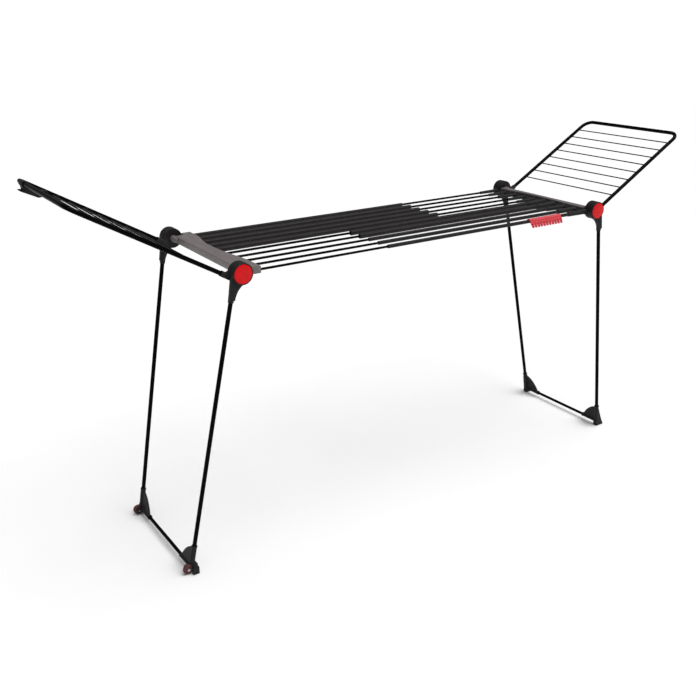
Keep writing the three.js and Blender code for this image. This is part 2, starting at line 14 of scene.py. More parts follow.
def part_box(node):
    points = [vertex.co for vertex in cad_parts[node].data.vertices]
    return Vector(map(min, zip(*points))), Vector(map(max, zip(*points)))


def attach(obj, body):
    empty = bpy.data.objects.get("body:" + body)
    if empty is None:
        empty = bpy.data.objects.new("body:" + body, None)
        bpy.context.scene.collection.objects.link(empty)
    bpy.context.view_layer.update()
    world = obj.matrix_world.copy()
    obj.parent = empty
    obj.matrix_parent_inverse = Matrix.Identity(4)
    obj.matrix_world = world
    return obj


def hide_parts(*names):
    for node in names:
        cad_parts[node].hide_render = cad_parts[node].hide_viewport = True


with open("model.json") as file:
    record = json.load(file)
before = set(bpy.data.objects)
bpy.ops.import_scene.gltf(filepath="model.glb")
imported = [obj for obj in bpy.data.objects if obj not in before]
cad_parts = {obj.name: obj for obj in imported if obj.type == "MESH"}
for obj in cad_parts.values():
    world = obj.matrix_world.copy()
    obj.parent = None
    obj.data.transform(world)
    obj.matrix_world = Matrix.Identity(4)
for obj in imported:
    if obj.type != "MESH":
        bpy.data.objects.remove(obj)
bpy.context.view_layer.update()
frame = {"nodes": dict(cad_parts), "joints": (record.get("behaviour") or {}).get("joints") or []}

# ---- Camera ----
# A normal lens at chest height in front of the left-hand end, turned towards the middle of the deck.
CAMERA_PLACE = Vector((-1.8904, -2.5048, 1.7362))
CAMERA_TURN = radians(33.88)  # from +Y towards +X
CAMERA_TILT = radians(21.42)  # below the horizon
CAMERA_LENS = 45.28  # millimetres on a 36 mm sensor

camera_data = bpy.data.cameras.new("camera")
camera_data.lens = CAMERA_LENS
camera_data.sensor_width = 36
camera = bpy.data.objects.new("camera", camera_data)
bpy.context.scene.collection.objects.link(camera)
level = cos(CAMERA_TILT)
looking = Vector((sin(CAMERA_TURN) * level, cos(CAMERA_TURN) * level, -sin(CAMERA_TILT)))
camera.location = CAMERA_PLACE
camera.rotation_mode = "QUATERNION"
camera.rotation_quaternion = looking.to_track_quat("-Z", "Y")
bpy.context.scene.camera = camera


# ---- Studio: a pale floor and soft light ----
# A matt white sweep that looks white to the camera, under one very broad soft light.
def linear(hex_colour):
    """An sRGB hex colour as linear red, green, blue and alpha."""
    parts = [int(hex_colour[i:i + 2], 16) / 255 for i in (1, 3, 5)]
    return tuple(c / 12.92 if c <= 0.04045 else ((c + 0.055) / 1.055) ** 2.4 for c in parts) + (1.0,)


def put(tree, node, inputs):
    """Fills a node's inputs: a socket is linked, a value is set."""
    for name, value in inputs.items():
        if isinstance(value, bpy.types.NodeSocket):
            tree.links.new(value, node.inputs[name])
        else:
            node.inputs[name].default_value = value


def add(tree, kind, inputs=None, **settings):
    """Adds a node of a kind, with its settings and its inputs."""
    made = tree.nodes.new(kind)
    for name, value in settings.items():
        setattr(made, name, value)
    put(tree, made, inputs or {})
    return made


def new_material(name):
    """An empty material's tree and a Principled shader wired to its output."""
    made = bpy.data.materials.new(name)
    made.use_nodes = True
    tree = made.node_tree
    tree.nodes.clear()
    shader = add(tree, "ShaderNodeBsdfPrincipled")
    add(tree, "ShaderNodeOutputMaterial", {"Surface": shader.outputs["BSDF"]})
    return made, tree, shader


def two_tone(tree, amount, dark, pale, low=0.3, high=0.7):
    """A colour that runs from dark to pale as an amount goes from low to high."""
    made = add(tree, "ShaderNodeValToRGB", {"Fac": amount})
    for element, level, colour in zip(made.color_ramp.elements, (low, high), (dark, pale)):
        element.position = level
        element.color = linear(colour)
    return made.outputs["Color"]


# Matt white paper sweep: the faintest mottling keeps it from looking like a flat card.
sweep_paper, tree, shader = new_material("white paper sweep")
place = add(tree, "ShaderNodeTexCoord").outputs["Object"]
mottle = add(tree, "ShaderNodeTexNoise", {"Vector": place, "Scale": 1.5, "Detail": 2.0}).outputs["Fac"]
put(tree, shader, {"Base Color": two_tone(tree, mottle, "#f8f8f8", "#ffffff", 0, 1), "Roughness": 0.85})

FLOOR_REACH = 14.0
FLOOR_GAP = 0.0005  # between the sweep and the feet
floor_mesh = bpy.data.meshes.new("floor")
floor_corners = [(-FLOOR_REACH, -FLOOR_REACH), (FLOOR_REACH, -FLOOR_REACH),
                 (FLOOR_REACH, FLOOR_REACH), (-FLOOR_REACH, FLOOR_REACH)]
floor_mesh.from_pydata([(x, y, -FLOOR_GAP) for x, y in floor_corners], [], [(0, 1, 2, 3)])
floor_mesh.materials.append(sweep_paper)
floor = bpy.data.objects.new("floor", floor_mesh)
bpy.context.scene.collection.objects.link(floor)

# The sky is white to the camera but lights the airer only dimly, so that the soft light above models it.
SKY_SEEN = 1.05
SKY_LIGHT = 0.26
sky = bpy.data.worlds.new("studio")
sky.use_nodes = True
sky.node_tree.nodes.clear()
seen = add(sky.node_tree, "ShaderNodeLightPath").outputs["Is Camera Ray"]
strength = add(sky.node_tree, "ShaderNodeMapRange", {"Value": seen, "To Min": SKY_LIGHT, "To Max": SKY_SEEN})
glow = add(sky.node_tree, "ShaderNodeBackground", {
    "Color": linear("#ffffff"), "Strength": strength.outputs["Result"]})
add(sky.node_tree, "ShaderNodeOutputWorld", {"Surface": glow.outputs["Background"]})
bpy.context.scene.world = sky

# A very broad, even light from above and a little in front, as from a silk hung over the set.
silk_data = bpy.data.lights.new("silk overhead", "SUN")
silk_data.angle = radians(60)
silk_data.energy = 2.8
silk = bpy.data.objects.new("silk overhead", silk_data)
silk.rotation_mode = "QUATERNION"
silk.rotation_quaternion = Vector((-0.3, 0.3, -1)).to_track_quat("-Z", "Y")
bpy.context.scene.collection.objects.link(silk)
bpy.context.scene.view_settings.view_transform = "Standard"


# ---- End beams ----
# Each end of the deck is a waisted bar moulded in satin warm grey polypropylene, with a boss at either end
# for the pivot bolts. The left bar is wide and covers its rail sockets. The right-hand one is a narrow
# cover over a rail carrier of charcoal ABS, from which long tapered collars stand out. The carrier is
# partly painted shade: its dark face under the cover stands in for the shade along the bar's inner side.
MM = 0.001
joints = {joint["name"]: joint for joint in frame["joints"]}
left_hinge = Vector(joints["left_wing_fold"]["pos_m"])
right_hinge = Vector(joints["right_wing_fold"]["pos_m"])
# An end frame has its origin on the hinge axis, X outwards, Y along the axis and Z up.
END_PLACE = {
    "left": Matrix.Translation(left_hinge) @ Matrix.Rotation(pi, 4, "Z"),
    "right": Matrix.Translation(right_hinge),
}

RAIL_COUNT = 10
sleeve_boxes = [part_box(f"deck_sleeve_{k}") for k in range(1, RAIL_COUNT + 1)]
RAIL_Y = [(low.y + high.y) / 2 for low, high in sleeve_boxes]
RAIL_Z = (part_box("deck_sleeve_1")[0].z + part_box("deck_sleeve_1")[1].z) / 2
RAIL_PITCH = RAIL_Y[0] - RAIL_Y[1]
RAIL_DROP = right_hinge.z - RAIL_Z
ROD_RADIUS = 4 * MM
SLEEVE_RADIUS = [(high.z - low.z) / 2 for low, high in sleeve_boxes]
BEAM_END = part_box("right_beam")[1].y  # the flat front and back ends
BEAM_WAIST = {"left": 50 * MM, "right": 24 * MM}  # inner edge at its narrowest, inwards from the hinge axis
BEAM_WIDENING = {"left": 21 * MM, "right": 9 * MM}  # how much wider the top is at its two ends
WAIST_BACK = 70 * MM  # the narrow part lies between these two, measured back from the middle
WAIST_FRONT = 20 * MM
BACK_BEND = 135 * MM  # the lengths over which the edge then widens
FRONT_BEND = 225 * MM
RAIL_EDGE = {"left": 50 * MM, "right": 48 * MM}  # where the rails come out
BEAM_OUTER = 2 * MM
BEAM_RISE = 10 * MM  # the top above the axis
CARRIER_RISE = 1 * MM  # the top of the right rail carrier
BEAM_DEPTH = 12.5 * MM  # the underside below the axis
COVER_WALL = 8 * MM  # the right-hand cover's top and skirt
DRUM_RADIUS = 34 * MM
BOSS_RADIUS = 11.44 * MM
BOSS_END = 237.4 * MM
BOSS_LENGTH = 40 * MM
BOLT_RADIUS = 5 * MM
COLLAR_WALL = 1.6 * MM
COLLAR_LENGTH = {"left": 1 * MM, "right": 86 * MM}  # beyond where the rails come out
RAIL_SEAT = 10 * MM  # rail ends, inside that
CLEARANCE = 0.3 * MM  # round whatever is pushed into a hole or slides in it


def bend(start, by, end, t):
    """The point at t, from 0 to 1, of the curve that leaves start towards by and comes to end."""
    return start * (1 - t) ** 2 + by * 2 * t * (1 - t) + end * t ** 2


def rounded(points, radius, steps=5):
    """An outline with each corner turned into an arc of about that radius."""
    made = []
    for index, here in enumerate(points):
        corner = Vector(here)
        before = Vector(points[index - 1]) - corner
        after = Vector(points[(index + 1) % len(points)]) - corner
        reach = min(radius, before.length * 0.45, after.length * 0.45)  # under half, so that arcs never meet
        start = corner + before.normalized() * reach
        end = corner + after.normalized() * reach
        made += [bend(start, corner, end, step / steps) for step in range(steps + 1)]
    return made


def belt(low, high, sides):
    """The faces between two rings of points, from where each ring starts."""
    return [(low + k, low + (k + 1) % sides, high + (k + 1) % sides, high + k) for k in range(sides)]


def prism(outline, low, high, along):
    """A closed slab: an outline drawn square to an axis, taken from low to high along it."""
    order = {
        "X": lambda a, b, c: (c, a, b),
        "Y": lambda a, b, c: (a, c, b),
        "Z": lambda a, b, c: (a, b, c),
    }[along]
    count = len(outline)
    points = [order(a, b, level) for level in (low, high) for a, b in outline]
    return points, belt(0, count, count) + [tuple(range(count)), tuple(range(count, 2 * count))]


def turned(profile, start, toward, sides=48):
    """A turned shape of (distance along, radius) pairs about the line from start towards a point.

    It is solid when the profile starts and ends on the line, and a ring when it doesn't."""
    along = (Vector(toward) - Vector(start)).normalized()
    across = along.orthogonal().normalized()
    third = along.cross(across)
    is_solid = profile[0][1] == 0 and profile[-1][1] == 0
    rings = profile[1:-1] if is_solid else profile
    spokes = [across * cos(tau * k / sides) + third * sin(tau * k / sides) for k in range(sides)]
    points = [
        Vector(start) + along * distance + spoke * radius for distance, radius in rings for spoke in spokes]
    faces = []
    for ring in range(len(rings) - 1 if is_solid else len(rings)):
        faces += belt(ring * sides, (ring + 1) % len(rings) * sides, sides)
    if is_solid:
        first = len(points)
        points += [Vector(start) + along * profile[0][0], Vector(start) + along * profile[-1][0]]
        last_ring = (len(rings) - 1) * sides
        faces += [(first, (k + 1) % sides, k) for k in range(sides)]
        faces += [(first + 1, last_ring + k, last_ring + (k + 1) % sides) for k in range(sides)]
    return points, faces


def round_bar(radius, low, high, start, toward, sides=36):
    """A plain cylinder about the line from start towards a point, from low to high along it."""
    return turned([(low, 0), (low, radius), (high, radius), (high, 0)], start, toward, sides)


def closed_mesh(name, *shells):
    """A mesh of closed shells, its faces turned outwards."""
    made = bpy.data.meshes.new(name)
    points, faces = [], []
    for shell_points, shell_faces in shells:
        faces += [tuple(len(points) + i for i in face) for face in shell_faces]
        points += [tuple(p) for p in shell_points]
    made.from_pydata(points, [], faces)
    working = bmesh.new()
    working.from_mesh(made)
    bmesh.ops.recalc_face_normals(working, faces=working.faces)
    working.to_mesh(made)
    working.free()
    return made


def carved(name, first, steps, remesh=None):
    """One solid: a first shell taken through steps of UNION, DIFFERENCE or INTERSECT with other shells.

    With a remesh size, its corners are then softened as a moulding's are."""
    def helper(shell):
        made = bpy.data.objects.new("helper", closed_mesh("helper", shell))
        bpy.context.scene.collection.objects.link(made)
        return made

    body = helper(first)
    tools = []
    for operation, shell in steps:
        tools.append(helper(shell))
        step = body.modifiers.new("step", "BOOLEAN")
        step.object = tools[-1]
        step.operation = operation
        step.solver = "MANIFOLD"
    if remesh:
        step = body.modifiers.new("even", "REMESH")
        step.mode = "VOXEL"
        step.voxel_size = remesh
        step = body.modifiers.new("soften", "SMOOTH")
        step.factor = 0.5
        step.iterations = 4
        step = body.modifiers.new("lighten", "DECIMATE")
        step.ratio = 0.4
    bpy.context.view_layer.update()
    made = bpy.data.meshes.new_from_object(body.evaluated_get(bpy.context.evaluated_depsgraph_get()))
    made.name = name
    for thing in [body, *tools]:
        old = thing.data
        bpy.data.objects.remove(thing)
        bpy.data.meshes.remove(old)
    return made


def piece(name, mesh, place, material, crease=35):
    """A finished piece: its mesh set in place, shaded smooth except at its creases, with its material."""
    mesh.transform(place)
    if place.determinant() < 0:
        mesh.flip_normals()
    mesh.shade_smooth()
    mesh.set_sharp_from_angle(angle=radians(crease))
    mesh.materials.clear()
    mesh.materials.append(material)
    made = bpy.data.objects.new(name, mesh)
    bpy.context.scene.collection.objects.link(made)
    return made


def noise(tree, place, size, detail, roughness=0.5):
    """The strength of a noise whose features are about one size."""
    inputs = {"Vector": place, "Scale": 1 / size, "Detail": detail, "Roughness": roughness}
    return add(tree, "ShaderNodeTexNoise", inputs).outputs["Fac"]


def spread(tree, amount, low, high, least, most):
    """An amount from low to high, spread over least to most."""
    inputs = {"Value": amount, "From Min": low, "From Max": high, "To Min": least, "To Max": most}
    return add(tree, "ShaderNodeMapRange", inputs).outputs["Result"]


def rubbed(tree, colour, paler, amount):
    """A colour with a paler one laid over it by an amount."""
    made = add(tree, "ShaderNodeMix", {"Factor": amount, "A": colour, "B": linear(paler)}, data_type="RGBA")
    return made.outputs["Result"]


def bumped(tree, height, strength, distance):
    """The normals of a surface whose bumps stand up by a distance."""
    inputs = {"Height": height, "Strength": strength, "Distance": distance}
    return add(tree, "ShaderNodeBump", inputs).outputs["Normal"]


# Satin polypropylene: soft mottled grey, a fine spark-eroded grain, and faint rubbed streaks.
satin_polypropylene, tree, shader = new_material("satin warm grey moulded polypropylene")
place = add(tree, "ShaderNodeTexCoord").outputs["Object"]
flow = add(tree, "ShaderNodeMapping", {"Vector": place, "Scale": (1, 0.25, 1)}).outputs["Vector"]
mottled = two_tone(tree, noise(tree, flow, 25 * MM, 4.0), "#666060", "#726b6a")
rub = noise(tree, flow, 3 * MM, 6.0, 0.7)
put(tree, shader, {
    "Base Color": rubbed(tree, mottled, "#8a8482", spread(tree, rub, 0.62, 0.8, 0.0, 0.3)),
    "Roughness": spread(tree, rub, 0.3, 0.7, 0.40, 0.52),
    "Normal": bumped(tree, noise(tree, place, 0.5 * MM, 3.0), 0.35, 0.06 * MM),
})

# Textured ABS: deep charcoal with a slight bloom, a grain that spreads its highlights, and pale scuffs.
textured_abs, tree, shader = new_material("textured charcoal moulded ABS")
place = add(tree, "ShaderNodeTexCoord").outputs["Object"]
mottled = two_tone(tree, noise(tree, place, 12 * MM, 4.0), "#1e1d1e", "#272627")
scuff = noise(tree, place, 2.5 * MM, 8.0, 0.75)
grain = add(tree, "ShaderNodeTexVoronoi", {"Vector": place, "Scale": 1 / (0.45 * MM)}).outputs["Distance"]
put(tree, shader, {
    "Base Color": rubbed(tree, mottled, "#403f41", spread(tree, scuff, 0.62, 0.78, 0.0, 0.35)),
    "Roughness": spread(tree, scuff, 0.3, 0.7, 0.46, 0.6),
    "Normal": bumped(tree, grain, 0.3, 0.05 * MM),
    "Specular IOR Level": 0.12,
})


def top_edge(side, y):
    """The top's inner edge in the end frame: a waist that widens in a long curve towards both ends."""
    back = -y if side == "left" else y
    share = min(1, max(0, (back - WAIST_BACK) / BACK_BEND, (WAIST_FRONT - back) / FRONT_BEND))
    return -BEAM_WAIST[side] - BEAM_WIDENING[side] * share * share * (3 - 2 * share)


def lofted(outline_at, stations):
    """A closed shell through one outline of X and Z at each station along Y."""
    rings = [[Vector((x, y, z)) for x, z in outline_at(y)] for y in stations]
    sides = len(rings[0])
    faces = [tuple(range(sides)), tuple((len(rings) - 1) * sides + k for k in range(sides))]
    for ring in range(len(rings) - 1):
        faces += belt(ring * sides, (ring + 1) * sides, sides)
    return [point for ring in rings for point in ring], faces


stations = [BEAM_END * (k / 24 - 1) for k in range(49)]
between_drums = prism([
    (-400 * MM, -BEAM_END), (60 * MM, -BEAM_END), (60 * MM, BEAM_END), (-400 * MM, BEAM_END),
], -60 * MM, 60 * MM, "Z")
for side in ("left", "right"):
    neck = DRUM_RADIUS + 3 * MM
    shoulder = BOSS_END - 8 * MM
    half = [
        (5 * MM, 0),
        (5 * MM, shoulder - 20 * MM),
        (-BEAM_OUTER, shoulder - 12 * MM),
        (-BEAM_OUTER - 4 * MM, shoulder - 5 * MM),
        (-neck, shoulder),
        (-neck, BEAM_END),
        (-BEAM_WAIST[side] - BEAM_WIDENING[side], BEAM_END) if side == "left" else (-neck - 2 * MM, BEAM_END),
        (-200 * MM, BEAM_END - 9 * MM),
    ]
    plan = prism(rounded(half + [(x, -y) for x, y in reversed(half[1:])], 3 * MM), -40 * MM, 40 * MM, "Z")
    if side == "left":
        bar = lofted(lambda y: rounded([
            (-BEAM_OUTER, -BEAM_DEPTH), (-BEAM_OUTER, BEAM_RISE - 0.6 * MM),
            (-BEAM_OUTER - 3 * MM, BEAM_RISE),
            (top_edge("left", y), BEAM_RISE), (top_edge("left", y), -BEAM_DEPTH),
        ], 1.8 * MM, 3), stations)
    else:
        bar = lofted(lambda y: rounded([
            (-BEAM_OUTER, -BEAM_DEPTH), (-BEAM_OUTER, BEAM_RISE - 0.6 * MM),
            (-BEAM_OUTER - 3 * MM, BEAM_RISE),
            (top_edge("right", y), BEAM_RISE), (top_edge("right", y), BEAM_RISE - COVER_WALL),
            (-BEAM_OUTER - COVER_WALL, BEAM_RISE - COVER_WALL), (-BEAM_OUTER - COVER_WALL, -BEAM_DEPTH),
        ], 1.2 * MM, 3), stations)
    added, removed, collars = [("INTERSECT", plan)], [], []
    for end in (-1, 1):
        boss_start = Vector((0, end * (BOSS_END - BOSS_LENGTH), 0))
        outwards = boss_start + Vector((0, end, 0))
        added.append(("UNION", turned([
            (0, 0), (0, BOSS_RADIUS / 2), (24 * MM, BOSS_RADIUS), (BOSS_LENGTH - 1.2 * MM, BOSS_RADIUS),
            (BOSS_LENGTH - 0.4 * MM, BOSS_RADIUS - 0.4 * MM), (BOSS_LENGTH, BOSS_RADIUS - 1.2 * MM),
            (BOSS_LENGTH, 0),
        ], boss_start, outwards)))
        bolt_hole = round_bar(
            BOLT_RADIUS + CLEARANCE, 15 * MM, BOSS_LENGTH + 2 * MM, boss_start, outwards, 48)
        removed.append(("DIFFERENCE", bolt_hole))
    for number in range(RAIL_COUNT):
        is_sleeve = (number < RAIL_COUNT / 2) == (side == "left")
        held = (SLEEVE_RADIUS[number] if is_sleeve else ROD_RADIUS) + CLEARANCE
        y = RAIL_Y[number] * (-1 if side == "left" else 1)
        reach = COLLAR_LENGTH[side] + RAIL_SEAT
        way = max(reach, RAIL_SEAT + BEAM_WIDENING[side]) + MM
        root = Vector((-RAIL_EDGE[side] + RAIL_SEAT, y, -RAIL_DROP))
        inwards = root + Vector((-1, 0, 0))
        collars.append(("UNION", turned([
            (0, 0), (0, held + 1.8 * COLLAR_WALL), (RAIL_SEAT, held + 1.7 * COLLAR_WALL),
            (reach - 1.0 * MM, held + COLLAR_WALL), (reach - 0.3 * MM, held + 0.75 * COLLAR_WALL),
            (reach, held + 0.4 * COLLAR_WALL), (reach, 0),
        ], root, inwards, 32)))
        collars.append(("DIFFERENCE", round_bar(held, 0.3 * MM, way, root, inwards, 32)))
    if side == "left":
        added += [*collars, ("INTERSECT", between_drums)]
    beam = carved("end bar", bar, added + removed)
    beam = piece(f"{side}_end_bar", beam, END_PLACE[side], satin_polypropylene)
    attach(beam, f"{side}_deck")
    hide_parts(f"{side}_beam")

# Painted shade: this dark charcoal carrier holds the right-hand collars, and its dark face fills the bar's
# inner side to stand in for the shade there.
carrier = lofted(lambda y: rounded([
    (-BEAM_OUTER - 5 * MM, -BEAM_DEPTH), (-BEAM_OUTER - 5 * MM, BEAM_RISE - 7 * MM),
    (top_edge("right", y) + 0.6 * MM, BEAM_RISE - 7 * MM), (top_edge("right", y) - 0.8 * MM, CARRIER_RISE),
    (-RAIL_EDGE["right"], CARRIER_RISE - MM), (-RAIL_EDGE["right"], -BEAM_DEPTH),
], 0.9 * MM, 3), stations)
carrier = carved("rail carrier", carrier, [("INTERSECT", plan), *collars, ("INTERSECT", between_drums)])
carrier = piece("right_rail_carrier_painted_shade", carrier, END_PLACE["right"], textured_abs)
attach(carrier, "right_deck")
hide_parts("right_beam")


# ---- Deck sleeves ----
# The fat half of each rail is a steel tube with a satin charcoal powder coat, pushed into one end bar.
# Its far mouth has a pressed-in bush with a chamfered lip, in which the thin rod slides.
SLEEVE_WALL = 1.5 * MM
MOUTH_LENGTH = 16 * MM
FAT_SLEEVE = 8 * MM  # a sleeve of a larger radius is one of the fat ones
SLEEVE_ROOT = {"left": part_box("deck_sleeve_1")[0].x, "right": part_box("deck_sleeve_6")[1].x}
SLEEVE_MOUTH = {"left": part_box("deck_sleeve_1")[1].x, "right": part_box("deck_sleeve_6")[0].x}


def coat(name, deep, pale, rub_tone, shine, orange_peel, reflection):
    """A powder coat: its deep, pale and rubbed tones, its roughness either way of shine, how far its
    orange peel stands up and how strongly it mirrors what is round it."""
    made, tree, shader = new_material(name)
    place = add(tree, "ShaderNodeTexCoord").outputs["Object"]
    mottled = two_tone(tree, noise(tree, place, 18 * MM, 5.0), deep, pale)
    rub = noise(tree, place, 6 * MM, 8.0, 0.75)
    put(tree, shader, {
        "Base Color": rubbed(tree, mottled, rub_tone, spread(tree, rub, 0.64, 0.78, 0.0, 0.5)),
        "Roughness": spread(tree, rub, 0.3, 0.7, shine - 0.05, shine + 0.07),
        "Normal": bumped(tree, noise(tree, place, 1.6 * MM, 2.0), 0.5, orange_peel),
        "Specular IOR Level": reflection,
    })
    return made


def grown(name, mesh, tree, values):
    """The plain mesh that a Geometry Nodes tree makes from a mesh, with its inputs set by name."""
    maker = bpy.data.objects.new("maker", mesh)
    bpy.context.scene.collection.objects.link(maker)
    step = maker.modifiers.new("grow", "NODES")
    step.node_group = tree
    sockets = {item.name: item.identifier for item in tree.interface.items_tree if item.in_out == "INPUT"}
    for key, value in values.items():
        step[sockets[key]] = value
    bpy.context.view_layer.update()
    made = bpy.data.meshes.new_from_object(maker.evaluated_get(bpy.context.evaluated_depsgraph_get()))
    made.name = name
    bpy.data.objects.remove(maker)
    bpy.data.meshes.remove(mesh)
    return made


def new_tree(name, *inputs):
    """A Geometry Nodes tree with a geometry in and out, and further inputs of (name, socket kind)."""
    tree = bpy.data.node_groups.new(name, "GeometryNodeTree")
    tree.interface.new_socket("Geometry", in_out="INPUT", socket_type="NodeSocketGeometry")
    for label, kind in inputs:
        tree.interface.new_socket(label, in_out="INPUT", socket_type=kind)
    tree.interface.new_socket("Geometry", in_out="OUTPUT", socket_type="NodeSocketGeometry")
    return tree, tree.nodes.new("NodeGroupInput").outputs


def ends_in(tree, geometry, material):
    """Closes a tree: its geometry made real, given its material, and sent out."""
    real = add(tree, "GeometryNodeRealizeInstances", {"Geometry": geometry}).outputs["Geometry"]
    painted = add(tree, "GeometryNodeSetMaterial", {"Geometry": real, "Material": material})
    add(tree, "NodeGroupOutput", {"Geometry": painted.outputs["Geometry"]})


# Copies of one thing in a straight row.
row, given = new_tree(
    "row of like things", ("Count", "NodeSocketInt"), ("First", "NodeSocketVector"),
    ("Step", "NodeSocketVector"), ("Material", "NodeSocketMaterial"))
spots = add(row, "GeometryNodeMeshLine", {
    "Count": given["Count"], "Start Location": given["First"], "Offset": given["Step"]})
copies = add(row, "GeometryNodeInstanceOnPoints", {
    "Points": spots.outputs["Mesh"], "Instance": given["Geometry"]})
ends_in(row, copies.outputs["Instances"], given["Material"])


def together(name, *meshes):
    """Several meshes as one."""
    working = bmesh.new()
    for mesh in meshes:
        working.from_mesh(mesh)
        bpy.data.meshes.remove(mesh)
    made = bpy.data.meshes.new(name)
    working.to_mesh(made)
    working.free()
    return made


charcoal_coat = coat(
    "satin charcoal powder coat on steel", "#1d1b1b", "#262323", "#3a3737", 0.40, 0.05 * MM, 0.12)

for side in ("left", "right"):
    away = 1 if side == "left" else -1
    numbers_here = [n for n in range(RAIL_COUNT) if (n < RAIL_COUNT / 2) == (side == "left")]
    fat = [n for n in numbers_here if SLEEVE_RADIUS[n] > FAT_SLEEVE]
    slim = [n for n in numbers_here if n not in fat]
    sleeve_length = abs(SLEEVE_MOUTH[side] - SLEEVE_ROOT[side])
    mouth = sleeve_length - MOUTH_LENGTH
    hold = ROD_RADIUS + CLEARANCE
    rows = []
    for numbers in (fat, slim):
        radius = SLEEVE_RADIUS[numbers[0]]
        one = closed_mesh("sleeve", turned([
            (0, radius - SLEEVE_WALL), (0, radius), (mouth, radius), (mouth + 0.3 * MM, radius - 0.25 * MM),
            (mouth + 0.6 * MM, radius - 0.25 * MM), (mouth + 0.9 * MM, radius),
            (sleeve_length - 3 * MM, radius), (sleeve_length - 1.6 * MM, radius - 0.3 * MM),
            (sleeve_length - 0.5 * MM, radius - 0.9 * MM), (sleeve_length, radius - 1.8 * MM),
            (sleeve_length, hold + 0.5 * MM), (sleeve_length - 0.6 * MM, hold), (mouth, hold),
            (mouth - 2 * MM, radius - SLEEVE_WALL),
        ], (0, 0, 0), (away, 0, 0), 36))
        rows.append(grown("sleeves", one, row, {
            "Count": len(numbers), "First": (SLEEVE_ROOT[side], RAIL_Y[numbers[0]], RAIL_Z),
            "Step": (0, -RAIL_PITCH, 0), "Material": charcoal_coat}))
    sleeves = piece(f"{side}_rail_sleeves", together("sleeves", *rows), Matrix.Identity(4), charcoal_coat)
    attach(sleeves, f"{side}_deck")
    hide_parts(*[f"deck_sleeve_{n + 1}" for n in fat + slim])


# ---- Deck rods ----
# The thin half of each rail is an 8 mm steel rod in semi-gloss black powder coat. It is pushed into the
# opposite end bar and slides in its sleeve as the deck is pulled out.
ROD_ROOT = {"left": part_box("deck_rod_6")[0].x, "right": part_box("deck_rod_1")[1].x}
ROD_TIP = {"left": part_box("deck_rod_6")[1].x, "right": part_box("deck_rod_1")[0].x}

black_coat = coat(
    "semi-gloss black powder coat on steel", "#020203", "#060607", "#141416", 0.34, 0.03 * MM, 0.03)

for side in ("left", "right"):
    away = 1 if side == "left" else -1
    numbers = [n for n in range(RAIL_COUNT) if (n >= RAIL_COUNT / 2) == (side == "left")]
    length = abs(ROD_TIP[side] - ROD_ROOT[side])
    one = closed_mesh("rod", turned([
        (0, 0), (0, ROD_RADIUS - 0.5 * MM), (0.5 * MM, ROD_RADIUS), (length - 0.8 * MM, ROD_RADIUS),
        (length - 0.2 * MM, ROD_RADIUS - 0.3 * MM), (length, ROD_RADIUS - 0.9 * MM), (length, 0),
    ], (0, 0, 0), (away, 0, 0), 24))
    rod_row = grown("rods", one, row, {
        "Count": len(numbers), "First": (ROD_ROOT[side], RAIL_Y[numbers[0]], RAIL_Z),
        "Step": (0, -RAIL_PITCH, 0), "Material": black_coat})
    rods = piece(f"{side}_rail_rods", rod_row, Matrix.Identity(4), black_coat)
    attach(rods, f"{side}_deck")
    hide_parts(*[f"deck_rod_{n + 1}" for n in numbers])


# ---- Pivot bolts and wheel axles ----
# Zinc-plated steel bolts hold the hubs to the end bars, and short axles carry the wheels. They are almost
# wholly covered, so they keep their plain turned shape and take the plated finish.
zinc_plate, tree, shader = new_material("bright zinc-plated steel")
place = add(tree, "ShaderNodeTexCoord").outputs["Object"]
drawn = add(tree, "ShaderNodeMapping", {"Vector": place, "Scale": (1, 0.15, 1)}).outputs["Vector"]
spangle = noise(tree, drawn, 1.2 * MM, 4.0)
put(tree, shader, {
    "Base Color": two_tone(tree, spangle, "#9c9fa6", "#c6c7c4", 0, 1),
    "Roughness": spread(tree, spangle, 0, 1, 0.22, 0.42),
    "Normal": bumped(tree, spangle, 0.3, 0.02 * MM),
    "Metallic": 1.0,
})

for side in ("left", "right"):
    for place_name in ("front", "back"):
        bolt = frame["nodes"][f"{side}_{place_name}_pivot_bolt"]
        bolt.data.materials.clear()
        bolt.data.materials.append(zinc_plate)


# ---- Wing hub arms ----
# Each wing turns on two discs of textured charcoal ABS against the ends of the end bar. A round arm grows
# from the disc's lower edge and holds the end of the wing tube.
HUB_INNER = 237.9 * MM
WING_HUB_OUTER = 254.4 * MM
WING_ANGLE = radians(30)
WING_DROP = 24.8 * MM
WING_LENGTH = 543 * MM
WING_HALF = 241.5 * MM  # half the width between tube centres
WING_TUBE = 7 * MM
WING_SOCKET_LENGTH = 52 * MM
HUB_WIDTH = WING_HUB_OUTER - HUB_INNER
ARM_RADIUS = {"root": 10 * MM, "end": 9.2 * MM}


def on_wing_tube(out):
    """A point on the wing tube's centre line, in the wing's own frame."""
    return Vector((out, WING_HALF, -WING_DROP))


def at_corner(side, place_name, tilt=0):
    """The place of a piece drawn in the end frame, at one of the corners, tilted about the hinge axis."""
    mirror = Matrix.Scale(1 if (place_name == "front") == (side == "left") else -1, 4, (0, 1, 0))
    return END_PLACE[side] @ Matrix.Rotation(-tilt, 4, "Y") @ mirror


